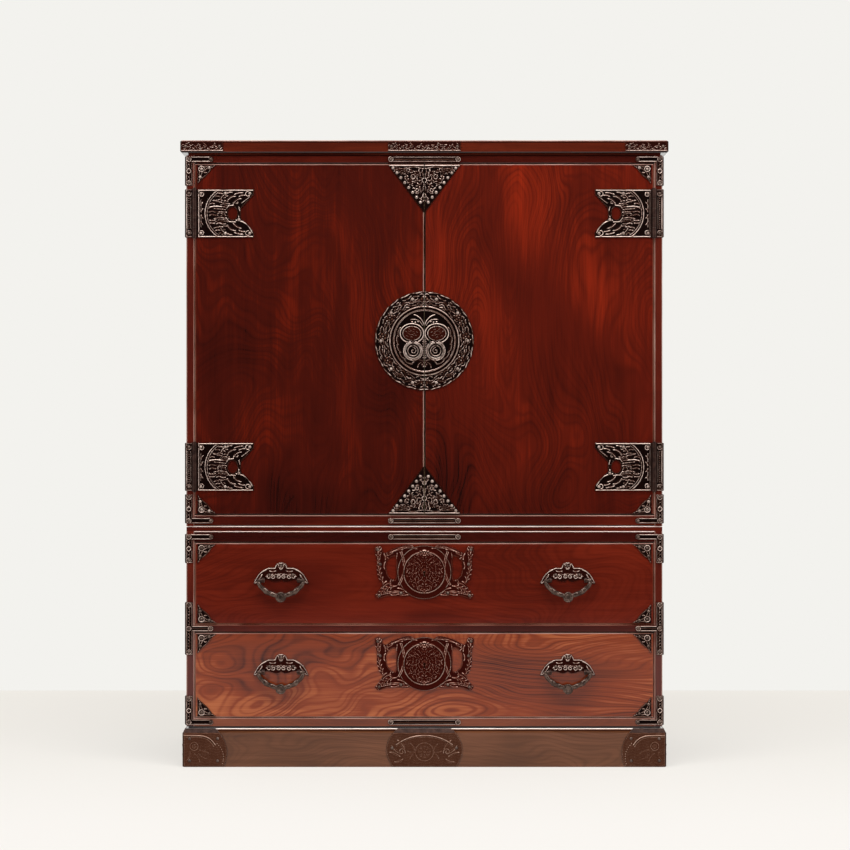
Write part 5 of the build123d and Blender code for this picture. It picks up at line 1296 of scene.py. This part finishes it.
def make_floor():
    """A matt pale floor that ends a little behind the chest and well in front of it."""
    mesh = bpy.data.meshes.new("studio_floor")
    mesh.from_pydata([(-FLOOR_SIDE, FLOOR_NEAR, 0), (FLOOR_SIDE, FLOOR_NEAR, 0),
                      (FLOOR_SIDE, FLOOR_BACK, 0), (-FLOOR_SIDE, FLOOR_BACK, 0)], [],
                     [(0, 1, 2, 3)])
    made = material("matt_pale_floor")
    spot = add(made, "TexCoord").outputs["Object"]
    place = add(made, "SeparateXYZ", {0: spot}).outputs["Y"]
    place = add(made, "MapRange", {"Value": place, "From Min": -1.3, "From Max": 1.2}).outputs[0]
    # painted light: the floor's colour and glow grow paler towards the back, making up for the lamps'
    # light falling off there
    shade = add(made, "ValToRGB", {0: place}, stops=((0.0, "DFDBD5"), (1.0, "ECE7DF"))).outputs[0]
    glow = add(made, "ValToRGB", {0: place}, stops=((0.15, "F8F6F3"), (0.5, "F5F3EE"),
                                                    (1.0, "FFFCF6"))).outputs[0]
    matt = add(made, "BsdfPrincipled", {"Base Color": shade, "Roughness": 0.9,
                                        "Specular IOR Level": 0.0}).outputs[0]
    lift = add(made, "Emission", {"Color": glow, "Strength": 1.0}).outputs[0]
    # to the eye and in gloss the floor partly gives its own pale light
    path = add(made, "LightPath")
    seen = add(made, "Math", {0: path.outputs["Is Camera Ray"], 1: path.outputs["Is Glossy Ray"]},
               operation="MAXIMUM").outputs[0]
    share = add(made, "Math", {0: seen, 1: 0.62}, operation="MULTIPLY").outputs[0]
    mixed = add(made, "MixShader", {0: share, 1: matt, 2: lift}).outputs[0]
    add(made, "OutputMaterial", {"Surface": mixed})
    mesh.materials.append(made)
    placed("studio_floor", mesh)


def make_world():
    """A pale wall all round to the eye; a softer grey light on the chest."""
    world = bpy.data.worlds.new("studio")
    bpy.context.scene.world = world
    world.use_nodes = True
    world.node_tree.nodes.clear()
    path = add(world, "LightPath")
    wall = add(world, "Background", {"Color": colour("F3F2EE"), "Strength": 1.0}).outputs[0]
    dim = add(world, "Background", {"Color": colour("F3EFEA"), "Strength": 0.03}).outputs[0]
    fill = add(world, "Background", {"Color": colour("F5F2EE"), "Strength": 0.5}).outputs[0]
    # gloss shows the wall behind the chest, and a dim room before it
    facing = add(world, "TexCoord").outputs["Generated"]
    behind = add(world, "SeparateXYZ", {0: facing}).outputs["Y"]
    behind = add(world, "MapRange", {"Value": behind, "From Min": -0.1, "From Max": 0.15})
    mirror = add(world, "MixShader", {0: behind.outputs[0], 1: dim, 2: wall}).outputs[0]
    seen = add(world, "Math", {0: path.outputs["Is Camera Ray"],
                               1: path.outputs["Is Transmission Ray"]}, operation="MAXIMUM")
    seen = seen.outputs[0]
    lit = add(world, "MixShader", {0: path.outputs["Is Glossy Ray"], 1: fill, 2: mirror}).outputs[0]
    shown = add(world, "MixShader", {0: seen, 1: lit, 2: wall}).outputs[0]
    add(world, "OutputWorld", {"Surface": shown})


def make_lamp(name, place, wide, tall, watts):
    """A soft box aimed at the middle of the chest."""
    light = bpy.data.lights.new(name, "AREA")
    light.shape = "RECTANGLE"
    light.size, light.size_y, light.energy = wide, tall, watts
    lamp = placed(name, light)
    lamp.location = place
    lamp.rotation_euler = (Vector(MIDDLE) - Vector(place)).to_track_quat("-Z", "Y").to_euler()


def make_camera():
    """A level camera before the chest's front."""
    camera = bpy.data.cameras.new("camera")
    camera.sensor_width = SENSOR
    camera.lens = SENSOR * CAMERA_AWAY / FRAME_WIDTH
    camera.clip_end = 60
    stand = placed("camera", camera)
    stand.location = (CAMERA_ASIDE, FRONT / 1000 - CAMERA_AWAY, CAMERA_HEIGHT)
    stand.rotation_euler = (math.pi / 2, 0, 0)
    bpy.context.scene.camera = stand


make_floor()
make_world()
make_lamp("overhead_box", (0, -1.9, 3.6), 3.6, 1.6, 120)
make_lamp("left_box", (-3.1, -2.5, 1.9), 1.4, 2.0, 34)
make_lamp("right_box", (3.1, -2.5, 1.9), 1.4, 2.0, 40)
make_camera()
bpy.context.scene.view_settings.view_transform = "Standard"
